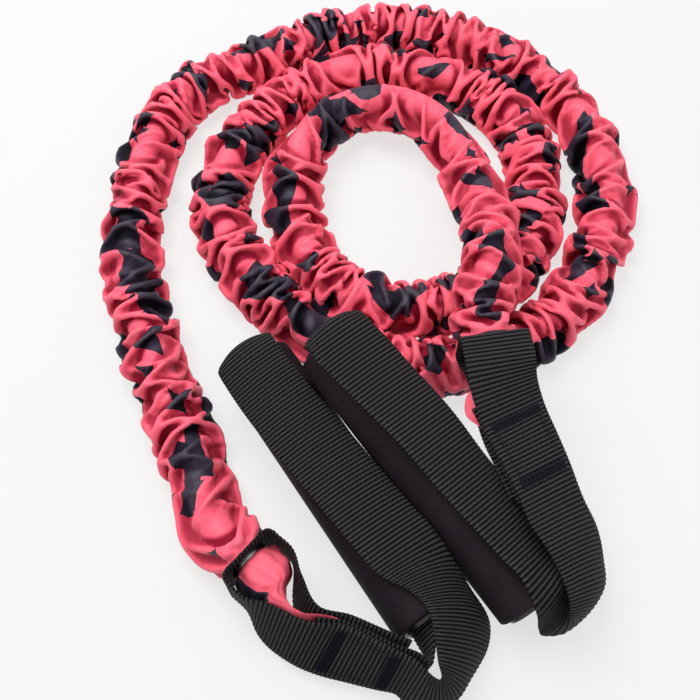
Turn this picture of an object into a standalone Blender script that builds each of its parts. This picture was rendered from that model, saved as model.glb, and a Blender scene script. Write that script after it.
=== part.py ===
"""Resistance tube with handles, laid down in a loose spiral.

A latex tube runs inside a gathered fabric sleeve. At each end it passes through an eyelet in the eye of a
webbing handle and is held there by a plug. The webbing runs on through a hard core with a foam grip.
Every size below is in millimetres; the model is built in metres, Z up, resting on Z = 0.
"""
import math

import bpy
import numpy as np

# Foam grip and its core
FOAM_WALL = 2.7
FOAM_L = 113.0
CORE_D = 22.0
CORE_WALL = 1.5
CORE_BORE = CORE_D - 2 * CORE_WALL
CORE_OUT = 1.5
FOAM_CHAMFER = 1.0
CORE_CHAMFER = 0.4

# Webbing
STRAP_W = 25.0
STRAP_T = 1.4

# Latex tube, its plugs and the eyelets that they sit behind
TUBE_D = 11.0
TUBE_BORE = 6.0
FLARE_D = 14.4
FLARE_BORE = 9.2
FLARE_L = 10.0
PLUG_L = 8.0
EYELET_HOLE = 12.4
EYELET_WALL = 0.7
FLANGE_D = 16.6
FLANGE_T = 0.8
WASHER_D = 15.6
WASHER_T = 0.8

# Gathered sleeve: crest and valley of its folds, and the hollow that the tube lies in
CREST_D = 20.8
VALLEY_D = 16.6
SLEEVE_BORE = 12.6
FOLDS = 122
TAIL_W = 19.0
TAIL_T = 1.0

# Stitching
BARTACK_W = 3.0
BARTACK_T = 0.7
BARTACK_MARGIN = 2.5
STITCH_W = 0.8

# Touching pieces keep this clearance
GAP = 0.3
FOAM_D = CORE_D + 2 * (GAP + FOAM_WALL)

# Where the middle of the two handles stands, so that the origin is under the middle of their box
CENTRE_X = 20.15
CENTRE_Y = -71.1

# Grips: the low end of each axis, its heading on the floor, and the height of its far end's axis over the
# low end's
LOW_A = (27.4, -107.1)
HEADING_A = -56.3
RISE_A = 0.0
LOW_B = (62.6, -101.5)
HEADING_B = -51.7
RISE_B = 20.0

# The middle of each eye's apex, where the tube leaves through the eyelet
EYE_A = (-35.6, -87.4, 13.4)
EYE_B = (51.1, -13.2, 31.9)

# Height of the middle of the tube where it lies on the surface
LIE = CREST_D / 2 + 0.6

# Route of the tube from handle A to handle B: x, y and height over LIE
ROUTE = [
    (-50.8, -68.6, 0.8), (-57.0, -51.0, 0.2), (-66.6, -28.5, 0.0), (-77.0, -5.0, 0.0), (-86.0, 21.0, 0.0),
    (-90.2, 50.0, 0.0), (-88.4, 79.9, 0.0), (-80.5, 108.5, 0.0), (-63.5, 130.5, 0.0),
    (-43.0, 140.5, 0.0), (-21.0, 152.5, 0.0), (4.0, 160.5, 0.0), (30.0, 160.3, 0.0),
    (56.0, 153.0, 0.0), (80.0, 136.5, 0.0), (99.0, 113.5, 0.0), (107.0, 86.0, 0.0),
    (106.3, 59.0, 0.0), (98.0, 34.0, 0.0), (82.5, 11.5, 0.0), (59.5, -3.5, -0.4),
    (32.0, -10.5, -0.4), (4.0, -5.5, -0.4), (-21.8, 10.0, 0.0), (-43.0, 33.5, 0.0),
    (-54.6, 62.0, 0.0), (-48.5, 91.0, 0.0), (-30.0, 117.0, 0.0), (-5.0, 134.0, 0.0),
    (23.0, 136.6, 0.0), (51.0, 127.0, 0.0), (71.5, 107.0, 0.0), (78.3, 80.0, 0.0),
    (74.9, 52.7, -0.2), (61.0, 28.0, -0.4), (35.5, 15.2, 0.0), (7.5, 16.8, 0.0),
    (-13.5, 33.5, 0.0), (-23.4, 60.0, 0.6), (-22.0, 86.0, 3.0), (-5.0, 108.5, 5.0),
    (18.0, 112.6, 6.0), (37.5, 101.5, 6.2), (47.5, 82.0, 7.0), (52.6, 61.0, 10.8),
    (55.2, 43.5, 17.4), (54.8, 27.5, 21.8), (51.4, 13.0, 21.7),
]


def norm(v):
    return v / np.linalg.norm(v, axis=-1, keepdims=True)


def vec(*v):
    return np.array(v, float)


def natural_spline(knots, points, at):
    """Natural cubic spline through points, given at the knots and read at the values of at."""
    knots, points = np.asarray(knots, float), np.asarray(points, float)
    n, h = len(knots), np.diff(knots)
    rows, right = np.eye(n), np.zeros((n,) + points.shape[1:])
    for i in range(1, n - 1):
        rows[i, i - 1:i + 2] = h[i - 1], 2 * (h[i - 1] + h[i]), h[i]
        right[i] = 6 * ((points[i + 1] - points[i]) / h[i] - (points[i] - points[i - 1]) / h[i - 1])
    bend = np.linalg.solve(rows, right.reshape(n, -1)).reshape(right.shape)
    k = np.clip(np.searchsorted(knots, at, side="right") - 1, 0, n - 2)
    shape = (-1,) + (1,) * (points.ndim - 1)
    a = (at - knots[k]).reshape(shape)
    b = (knots[k + 1] - at).reshape(shape)
    w = h[k].reshape(shape)
    return ((bend[k] * b ** 3 + bend[k + 1] * a ** 3) / (6 * w)
            + (points[k] / w - bend[k] * w / 6) * b + (points[k + 1] / w - bend[k + 1] * w / 6) * a)


def local_spline(knots, points, at):
    """Smooth curve through points, each span shaped by its own and its neighbours' points."""
    knots, points = np.asarray(knots, float), np.asarray(points, float)
    h = np.diff(knots).reshape((-1,) + (1,) * (points.ndim - 1))
    slope = np.diff(points, axis=0) / h
    lean = np.concatenate([slope[:1], (slope[:-1] * h[1:] + slope[1:] * h[:-1]) / (h[1:] + h[:-1]), slope[-1:]])
    k = np.clip(np.searchsorted(knots, at, side="right") - 1, 0, len(knots) - 2)
    w = h[k]
    t = (at - knots[k]).reshape((-1,) + (1,) * (points.ndim - 1)) / w
    return (points[k] * (2 * t ** 3 - 3 * t ** 2 + 1) + lean[k] * w * (t ** 3 - 2 * t ** 2 + t)
            + points[k + 1] * (3 * t ** 2 - 2 * t ** 3) + lean[k + 1] * w * (t ** 3 - t ** 2))


def chords(points):
    steps = np.linalg.norm(np.diff(points, axis=0), axis=1)
    return np.concatenate([[0.0], np.cumsum(steps)])


def read_at(curve, at):
    """Points of a finely sampled curve at the given lengths along it."""
    s = chords(curve)
    return np.stack([np.interp(at, s, curve[:, i]) for i in range(3)], axis=1)


# Scene and objects

for old in list(bpy.data.objects):
    bpy.data.objects.remove(old, do_unlink=True)


def material(name, colour, roughness, metallic=0.0):
    mat = bpy.data.materials.new(name)
    mat.use_nodes = True
    shader = mat.node_tree.nodes["Principled BSDF"]
    shader.inputs["Base Color"].default_value = (*colour, 1.0)
    shader.inputs["Roughness"].default_value = roughness
    shader.inputs["Metallic"].default_value = metallic
    return mat


MATERIALS = {
    "fabric": material("coral sleeve fabric", (0.80, 0.09, 0.10), 0.55),
    "latex": material("dark latex", (0.05, 0.05, 0.06), 0.5),
    "webbing": material("black webbing", (0.03, 0.028, 0.032), 0.75),
    "thread": material("bartack thread", (0.02, 0.02, 0.04), 0.7),
    "foam": material("black foam", (0.028, 0.024, 0.026), 0.85),
    "core": material("black core", (0.04, 0.035, 0.04), 0.35),
    "metal": material("eyelet steel", (0.45, 0.45, 0.47), 0.3, 1.0),
    "plug": material("plug plastic", (0.08, 0.08, 0.08), 0.5),
}

shift = np.array([CENTRE_X, CENTRE_Y, 0.0])


def add_mesh(name, points, faces, mat, smooth, origin):
    """An object from points in millimetres, with its origin at the given point."""
    base = np.asarray(origin, float)
    mesh = bpy.data.meshes.new(name)
    mesh.from_pydata([tuple(p) for p in (np.asarray(points, float) - base) / 1000.0], [], faces)
    mesh.validate()
    mesh.update()
    obj = bpy.data.objects.new(name, mesh)
    obj.location = tuple((base - shift) / 1000.0)
    obj.data.materials.append(MATERIALS[mat])
    bpy.context.scene.collection.objects.link(obj)
    if smooth:
        mesh.shade_smooth()
        mesh.set_sharp_from_angle(angle=math.radians(smooth))
    return obj


def turned(profile, origin, axis, sides, start=0.0):
    """A closed turned solid: profile is a closed loop of (along, radius), counter-clockwise."""
    axis = norm(np.asarray(axis, float))
    side = norm(np.cross(axis, vec(0, 0, 1) if abs(axis[2]) < 0.9 else vec(1, 0, 0)))
    up = np.cross(side, axis)
    points, faces = [], []
    for i in range(sides):
        angle = start + 2 * math.pi * i / sides
        out = math.cos(angle) * up + math.sin(angle) * side
        for along, radius in profile:
            points.append(np.asarray(origin, float) + along * axis + radius * out)
    count = len(profile)
    for i in range(sides):
        for j in range(count):
            a, b = i * count + j, i * count + (j + 1) % count
            c, d = ((i + 1) % sides) * count + (j + 1) % count, ((i + 1) % sides) * count + j
            faces.append((a, b, c, d))
    return points, faces


def flip(faces):
    return [tuple(reversed(face)) for face in faces]


def solid_volume(points, faces):
    total = 0.0
    for face in faces:
        for k in range(1, len(face) - 1):
            a, b, c = (np.asarray(points[face[i]]) for i in (0, k, k + 1))
            total += float(np.dot(a, np.cross(b, c))) / 6
    return total


def outward(points, faces):
    return faces if solid_volume(points, faces) > 0 else flip(faces)


# Ribbons: each station is a row of seven points across the band

ACROSS = np.linspace(-0.5, 0.5, 7)


def station(centre, width, out, curl=0.0, wide=None):
    """Row across the band. curl is one over the radius that the band curls to, away from out."""
    centre, width, out = np.asarray(centre, float), norm(np.asarray(width, float)), np.asarray(out, float)
    out = norm(out - width * np.dot(out, width))
    s = ACROSS * (STRAP_W if wide is None else wide)
    if abs(curl) < 1e-6:
        across, sink = s, s * 0
    else:
        across, sink = np.sin(s * curl) / curl, (1 - np.cos(s * curl)) / curl
    return centre + across[:, None] * width - sink[:, None] * out


def drape(first, middle, last):
    """Row across the band through three points."""
    f, m, b = (np.asarray(p, float) for p in (first, middle, last))
    t = (ACROSS + 0.5)[:, None]
    return f * (1 - t) * (1 - 2 * t) + m * 4 * t * (1 - t) + b * t * (2 * t - 1)


def loft(rows, pitch=13.5, turn=17.5):
    """Rows at even steps of length and turning along a smooth band through the given rows."""
    rows = np.asarray(rows, float)
    knots = np.concatenate([[0.0], np.cumsum(np.sqrt(
        (np.diff(rows, axis=0) ** 2).sum(axis=2).mean(axis=1)))])
    fine_at = np.linspace(0, knots[-1], int(knots[-1] * 2.5) + 1)
    fine = local_spline(knots, rows, fine_at)
    middle = fine[:, 3]
    head = norm(np.gradient(middle, axis=0))
    side = norm(fine[:, 6] - fine[:, 0])
    swing = np.degrees(np.arccos(np.clip((head[1:] * head[:-1]).sum(1), -1, 1)))
    twist = np.degrees(np.arccos(np.clip((side[1:] * side[:-1]).sum(1), -1, 1)))
    chord = np.linalg.norm(fine[:, 6] - fine[:, 0], axis=1)
    open_up = np.abs(np.diff(chord)) * 4
    weight = np.diff(fine_at) / pitch + (swing + 0.6 * twist + open_up) / turn
    total = np.concatenate([[0.0], np.cumsum(weight)])
    count = max(3, int(round(total[-1])))
    at = np.interp(np.linspace(0, total[-1], count + 1), total, fine_at)
    return local_spline(knots, rows, at)


def band_normals(rows):
    along = np.gradient(rows, axis=0)
    across = np.gradient(rows, axis=1)
    return norm(np.cross(along, across))


def ribbon(rows, thickness):
    """Closed solid of a band of the given thickness about its rows."""
    normals = band_normals(rows)
    half = thickness / 2
    count, wide = rows.shape[:2]
    top = rows + normals * half
    low = rows - normals * half
    points = list(top.reshape(-1, 3)) + list(low.reshape(-1, 3))
    base = count * wide
    faces = []
    for i in range(count - 1):
        for j in range(wide - 1):
            a, b = i * wide + j, i * wide + j + 1
            c, d = (i + 1) * wide + j + 1, (i + 1) * wide + j
            faces.append((a, d, c, b))
            faces.append((base + a, base + b, base + c, base + d))
        for j in (0, wide - 1):
            a, d = i * wide + j, (i + 1) * wide + j
            quad = (a, base + a, base + d, d)
            faces.append(quad if j == 0 else tuple(reversed(quad)))
    for i in (0, count - 1):
        for j in range(wide - 1):
            a, b = i * wide + j, i * wide + j + 1
            quad = (a, b, base + b, base + a)
            faces.append(quad if i == 0 else tuple(reversed(quad)))
    return points, outward(points, faces)


# Radius of the foam that the draped rows below are placed round
DRAPED_R = 14.0


class Grip:
    """Place of one grip: low is the middle of the foam's low end."""

    def __init__(self, low, heading, rise):
        angle = math.radians(heading)
        self.u = vec(math.cos(angle), math.sin(angle), 0)
        self.n = vec(-self.u[1], self.u[0], 0)
        self.low = vec(low[0], low[1], FOAM_D / 2)
        run = math.sqrt(FOAM_L ** 2 - rise ** 2)
        self.axis = norm(run * self.u - vec(0, 0, rise))
        self.up = np.cross(self.axis, self.n)
        if self.up[2] < 0:
            self.up = -self.up
        self.top = self.low - FOAM_L * self.axis

    def flat(self, along, side, height):
        """A point by its level distance past the low end, to the left of the axis, and height, as over a foam of
        the radius DRAPED_R; with another foam it moves out or in with the surface."""
        seat = FOAM_D / 2 - DRAPED_R
        rel = vec(side, height - DRAPED_R)
        far = np.linalg.norm(rel)
        rel = rel * (1 + seat / max(far, 1.0))
        return vec(self.low[0], self.low[1], 0) + along * self.u + rel[0] * self.n + vec(
            0, 0, rel[1] + FOAM_D / 2)

    def way(self, along, side, height):
        """A direction by its parts along the axis' heading, to its left and up."""
        return along * self.u + side * self.n + vec(0, 0, height)

    def round(self, along, angle, radius, aside=0.0):
        """A point by its distance past the low end along the axis, and its angle from up to the left."""
        a = math.radians(angle)
        out = math.sin(a) * self.n + math.cos(a) * self.up
        return self.low + along * self.axis + radius * out + aside * (
            math.cos(a) * self.n - math.sin(a) * self.up)

    def out(self, angle):
        a = math.radians(angle)
        return math.sin(a) * self.n + math.cos(a) * self.up

    def around(self, angle):
        a = math.radians(angle)
        return math.cos(a) * self.n - math.sin(a) * self.up


SEAT_R = FOAM_D / 2 + GAP + STRAP_T / 2
BORE_R = CORE_BORE / 2 - GAP - STRAP_T / 2
PASS = CORE_OUT + GAP

grip_a = Grip(LOW_A, HEADING_A, RISE_A)
grip_b = Grip(LOW_B, HEADING_B, RISE_B)

# Layers of a junction, counted down from the layer that runs on from the eye to the outer arm
LAYER_GAP = 0.55
LAYER_P = STRAP_T + LAYER_GAP
LAYER_TAIL = LAYER_P + STRAP_T / 2 + LAYER_GAP + TAIL_T / 2
LAYER_LOW = LAYER_TAIL + TAIL_T / 2 + LAYER_GAP + STRAP_T / 2


def over_grip(grip, hand, along, angle, aside, curl):
    """Row over the grip: hand is the side, 1 or -1, that the band's first edge points away from."""
    lift = aside ** 2 * curl / 2 + 0.12
    return station(grip.round(along, angle, SEAT_R + lift, aside), hand * grip.around(angle), grip.out(angle),
                   curl)


def through(grip, hand, along, angle, loose=0.0, curl=None):
    """Row inside the core, hugging its wall at the given angle."""
    bend = 1 / BORE_R if curl is None else curl
    return station(grip.round(along, angle, BORE_R - loose), hand * grip.around(angle), grip.out(angle), bend)


def top_fold(grip, hand, angle):
    """Rows of the fold over the far rim, from over the foam to inside the core. The stiff band lies flat over
    the foam, and its edges turn in sooner than its middle, so that the fold is rounded."""
    end = -FOAM_L
    rim = end - CORE_OUT
    mean = (SEAT_R + BORE_R) / 2

    def row(along, radius, curl, lag):
        flat = station(grip.round(along, angle, radius), hand * grip.around(angle), grip.out(angle), curl)
        return flat + (lag * (2 * ACROSS) ** 2)[:, None] * grip.axis

    return [
        row(end + 6.0, SEAT_R + 0.1, 1 / 42, 0.0),
        row(end + 0.5, SEAT_R + 0.1, 1 / 32, 0.0),
        row(rim - 1.6, SEAT_R - 0.5, 1 / 24, 1.2),
        row(rim - 3.0, mean + 1.4, 1 / 18, 1.7),
        row(rim - 2.9, mean - 1.0, 1 / 13, 1.5),
        row(rim - 2.0, BORE_R + 0.6, 1 / 10, 0.7),
        row(rim - 0.3, BORE_R, 1 / BORE_R, 0.1),
        row(rim + 4.0, BORE_R, 1 / BORE_R, 0.0),
    ]


def eye_rows(eye, inward, width, out, high):
    """Rows round the apex of an eye from its low layer to its top layer."""
    bend = 2.6
    flat = high - bend
    near = [(10.0, high + 0.1), (bend + 2.2, high), (bend, high),
            (bend * (1 - math.sin(math.pi / 4)), flat + bend * math.cos(math.pi / 4)), (0.0, flat)]
    rows = []
    for x, y in near:
        rows.append(station(eye + inward * x - out * y, width, out))
    rows.append(station(eye - out * flat * 0.5, width, out))
    rows.append(station(eye, width, out))
    rows.append(station(eye + out * flat * 0.5, width, out))
    for x, y in reversed(near):
        rows.append(station(eye + inward * x + out * y, width, out))
    return rows


# Strap of handle A. Its eye stands on edge, and the outer arm stands beyond the grip's low end.

def strap_a():
    g, hand = grip_a, 1
    eye = vec(*EYE_A)
    inward = norm(g.way(0.968, 0.250, 0))
    width = vec(0, 0, -1)
    out = norm(g.way(0.250, -0.968, 0))
    high = 12.0 - STRAP_T / 2
    j0, j1 = g.flat(-9.6, -34.2, 14.6), g.flat(6.4, -22.2, 14.9)
    w0, w1 = g.way(0.226, -0.598, -0.769), g.way(0.16, -0.42, -0.893)
    run = norm(j1 - j0)
    n0 = norm(-np.cross(run, w0))
    n1 = norm(-np.cross(run, w1))
    w_end = g.way(0.17, -0.46, -0.87)
    past = j1 + run * 6.0
    low = [
        station(j1 + run * 3.0 - n1 * LAYER_LOW, w1, n1),
        station(j1 - n1 * LAYER_LOW, w1, n1),
        station((j0 + j1) / 2 - (n0 + n1) / 2 * LAYER_LOW, w0 + w1, n0 + n1),
        station(j0 - n0 * LAYER_LOW, w0, n0),
        station(j0 - run * 9.0 - n0 * (LAYER_LOW + 0.6) + vec(0, 0, 0.8), w_end, n0),
        station(g.flat(-33.0, -32.6, 13.8), g.way(0.07, -0.22, -0.975), g.way(0.5, -0.86, 0.1)),
    ]
    eye_part = eye_rows(eye, inward, width, out, high)
    upper = [
        station(g.flat(-31.5, -48.0, 13.6), g.way(0.09, -0.27, -0.955), g.way(0.3, -0.92, 0.2)),
        station(j0 - run * 10.0 + n0 * 1.5 - vec(0, 0, 0.6), w_end, n0),
        station(j0, w0, n0),
        station((j0 + j1) / 2, w0 + w1, n0 + n1),
        station(j1, w1, n1),
        station(past, g.way(0.13, -0.36, -0.92), n1),
    ]
    turn = [
        drape(g.flat(17.0, -14.4, 25.2), g.flat(18.6, -18.0, 13.6), g.flat(19.6, -21.4, 1.6)),
        drape(g.flat(22.6, -12.2, 25.4), g.flat(24.0, -13.4, 13.5), g.flat(25.0, -14.6, 1.3)),
        drape(g.flat(22.0, -8.8, 25.8), g.flat(24.2, -7.6, 13.4), g.flat(25.4, -7.0, 1.3)),
        drape(g.flat(16.8, -5.6, 26.4), g.flat(20.6, -1.6, 14.6), g.flat(22.6, 1.4, 1.5)),
        drape(g.flat(9.4, -2.6, 27.6), g.flat(14.6, 5.2, 16.4), g.flat(18.6, 11.0, 2.4)),
        drape(g.flat(0.8, -0.8, 29.8), g.flat(6.8, 9.6, 22.4), g.flat(12.0, 16.6, 7.2)),
        drape(g.flat(-7.6, -3.4, 30.4), g.flat(-4.0, 8.6, 27.8), g.flat(0.6, 16.0, 16.8)),
    ]
    grip_part = [
        over_grip(g, hand, -20.0, 5.0, 2.0, 1 / 60),
        over_grip(g, hand, -34.0, 2.0, 1.1, 1 / 50),
        over_grip(g, hand, -48.0, -1.0, 0.5, 1 / 45),
        over_grip(g, hand, -64.0, -6.0, 0.2, 1 / 50),
        over_grip(g, hand, -78.0, -11.0, 0.0, 1 / 55),
        over_grip(g, hand, -90.0, -15.0, 0.0, 1 / 60),
        over_grip(g, hand, -102.0, -17.0, 0.0, 1 / 48),
    ]
    fold = top_fold(g, hand, -17.0)
    steps = [(-100.0, -18.0), (-80.0, -28.0), (-60.0, -45.0), (-40.0, -60.0), (-20.0, -75.0), (-6.0, -80.0)]
    bore = [through(g, hand, along, angle) for along, angle in steps]
    bore.append(through(g, hand, PASS, -80.0))
    p0 = j0 - n0 * LAYER_P
    p1 = j1 - n1 * LAYER_P
    arm_p = [
        station(g.flat(5.4, -8.4, 14.0), g.way(0, 0.1, 1), g.way(0, -1, 0), 1 / 14),
        station(g.flat(9.4, -9.2, 13.8), g.way(0.05, 0.05, 1), g.way(0.5, -0.85, 0), 1 / 60),
        station(g.flat(11.6, -11.8, 13.8), g.way(0, 0.1, 1), g.way(1, -0.2, 0)),
        station(g.flat(10.2, -15.4, 13.9), g.way(-0.1, 0.3, 0.95), g.way(0.6, 0.8, 0)),
        station(p1 + run * 2.6 - n1 * 0.5, -g.way(0.147, -0.394, -0.905), n1),
        station(p1, -w1, n1),
        station((p0 + p1) / 2, -(w0 + w1), n0 + n1),
        station(p0, -w0, n0),
        station(p0 - run * 9.0 + n0 * 0.7 - vec(0, 0, 0.2), -w_end, n0),
    ]
    rows = low + eye_part + upper + turn + grip_part + fold + bore + arm_p
    return rows, dict(eye=eye, inward=inward, width=width, out=out, high=high, j0=j0, j1=j1, w0=w0, w1=w1,
                      n0=n0, n1=n1, run=run, w_end=w_end)


# Strap of handle B. Its eye lies flat over the spiral, and its outer arm lies on the near side of the grip.

def strap_b():
    g, hand = grip_b, -1
    eye = vec(*EYE_B)
    inward = norm(g.way(0.869, -0.495, -0.02))
    width = norm(g.way(0.495, 0.869, 0))
    out = vec(0, 0, 1)
    high = 11.0 - STRAP_T / 2
    j0, j1 = g.flat(-48.8, 31.9, 35.4), g.flat(-28.3, 25.4, 34.8)
    w0, w1 = g.way(0.15, 0.975, -0.13), g.way(0.12, 0.95, -0.28)
    w_end = g.way(0.26, 0.96, -0.06)
    run = norm(j1 - j0)
    n0 = norm(np.cross(run, w0))
    n1 = norm(np.cross(run, w1))
    low = [
        station(j1 + run * 2.2 - n1 * LAYER_LOW, w1, n1),
        station(j1 - n1 * LAYER_LOW, w1, n1),
        station((j0 + j1) / 2 - (n0 + n1) / 2 * LAYER_LOW, w0 + w1, n0 + n1),
        station(j0 - n0 * LAYER_LOW, w0, n0),
        station(j0 - run * 9.0 - n0 * (LAYER_LOW + 1.6), w_end, n0),
    ]
    eye_part = eye_rows(eye, inward, width, out, high)
    upper = [
        station(j0 - run * 10.0 + n0 * 2.7, w_end, n0),
        station(j0, w0, n0),
        station((j0 + j1) / 2, w0 + w1, n0 + n1),
        station(j1, w1, n1),
    ]
    turn = [
        drape(g.flat(-17.3, 9.5, 37.4), g.flat(-15.8, 21.8, 32.6), g.flat(-14.3, 33.5, 26.4)),
        drape(g.flat(-8.0, 8.5, 36.0), g.flat(-6.2, 21.2, 30.2), g.flat(-4.5, 32.0, 21.0)),
        drape(g.flat(1.2, 6.8, 33.6), g.flat(3.2, 20.0, 25.4), g.flat(4.7, 28.6, 13.0)),
        drape(g.flat(7.6, 4.4, 31.6), g.flat(10.2, 16.6, 22.0), g.flat(11.4, 24.0, 7.2)),
        drape(g.flat(11.6, 1.6, 30.0), g.flat(13.8, 9.2, 17.4), g.flat(14.4, 12.8, 3.2)),
        drape(g.flat(11.0, 3.8, 26.6), g.flat(13.2, 3.8, 14.4), g.flat(13.8, 2.8, 2.4)),
        drape(g.flat(7.8, 9.2, 24.6), g.flat(10.6, 2.8, 16.0), g.flat(10.6, -3.4, 6.4)),
        drape(g.flat(3.2, 14.2, 24.0), g.flat(6.8, 5.2, 22.2), g.flat(8.2, -5.2, 13.0)),
        drape(g.flat(-2.3, 17.0, 23.4), g.flat(2.2, 7.0, 29.2), g.flat(4.6, -5.4, 24.6)),
    ]
    grip_part = [
        over_grip(g, hand, -9.5, 26.0, 0.8, 1 / 200),
        over_grip(g, hand, -19.0, 25.0, 0.5, 1 / 80),
        over_grip(g, hand, -32.0, 24.0, 0.2, 1 / 45),
        over_grip(g, hand, -46.0, 21.0, 0.0, 1 / 40),
        over_grip(g, hand, -68.0, 16.0, 0.2, 1 / 100),
        over_grip(g, hand, -90.0, 9.0, 0.0, 1 / 50),
        over_grip(g, hand, -103.0, 4.0, 0.0, 1 / 48),
    ]
    fold = top_fold(g, hand, 2.0)
    steps = [(-100.0, 4.0), (-80.0, 20.0), (-60.0, 38.0), (-40.0, 56.0), (-20.0, 74.0), (-6.0, 80.0)]
    bore = [through(g, hand, along, angle) for along, angle in steps]
    bore.append(through(g, hand, PASS, 80.0))
    p0 = j0 - n0 * LAYER_P
    p1 = j1 - n1 * LAYER_P
    arm_p = [
        station(g.flat(4.2, 9.0, 12.4), g.way(0.1, 0, 1), g.way(0, 1, 0), 1 / 9.5),
        drape(g.flat(6.4, 9.6, 1.9), g.flat(8.2, 12.4, 11.0), g.flat(5.0, 9.6, 19.2)),
        drape(g.flat(6.8, 16.6, 1.6), g.flat(7.2, 18.4, 10.4), g.flat(3.8, 14.4, 18.4)),
        drape(g.flat(1.4, 21.2, 1.6), g.flat(0.8, 22.8, 10.6), g.flat(-1.4, 18.0, 17.6)),
        drape(g.flat(-5.0, 24.6, 2.4), g.flat(-5.6, 25.4, 12.6), g.flat(-7.0, 20.4, 20.4)),
        drape(g.flat(-10.6, 28.4, 5.6), g.flat(-11.4, 27.6, 16.4), g.flat(-12.6, 20.8, 25.2)),
        drape(g.flat(-17.4, 33.0, 14.0), g.flat(-18.0, 27.6, 23.0), g.flat(-19.4, 19.2, 30.6)),
        station(p1 + run * 4.5 - n1 * 1.2, -g.way(0.12, 0.92, -0.36), n1),
        station(p1, -w1, n1),
        station((p0 + p1) / 2, -(w0 + w1), n0 + n1),
        station(p0, -w0, n0),
        station(p0 - run * 9.0 + n0 * 0.3, -w_end, n0),
    ]
    rows = low + eye_part + upper + turn + grip_part + fold + bore + arm_p
    return rows, dict(eye=eye, inward=inward, width=width, out=out, high=high, j0=j0, j1=j1, w0=w0, w1=w1,
                      n0=n0, n1=n1, run=run, w_end=w_end)


# Handles

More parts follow.
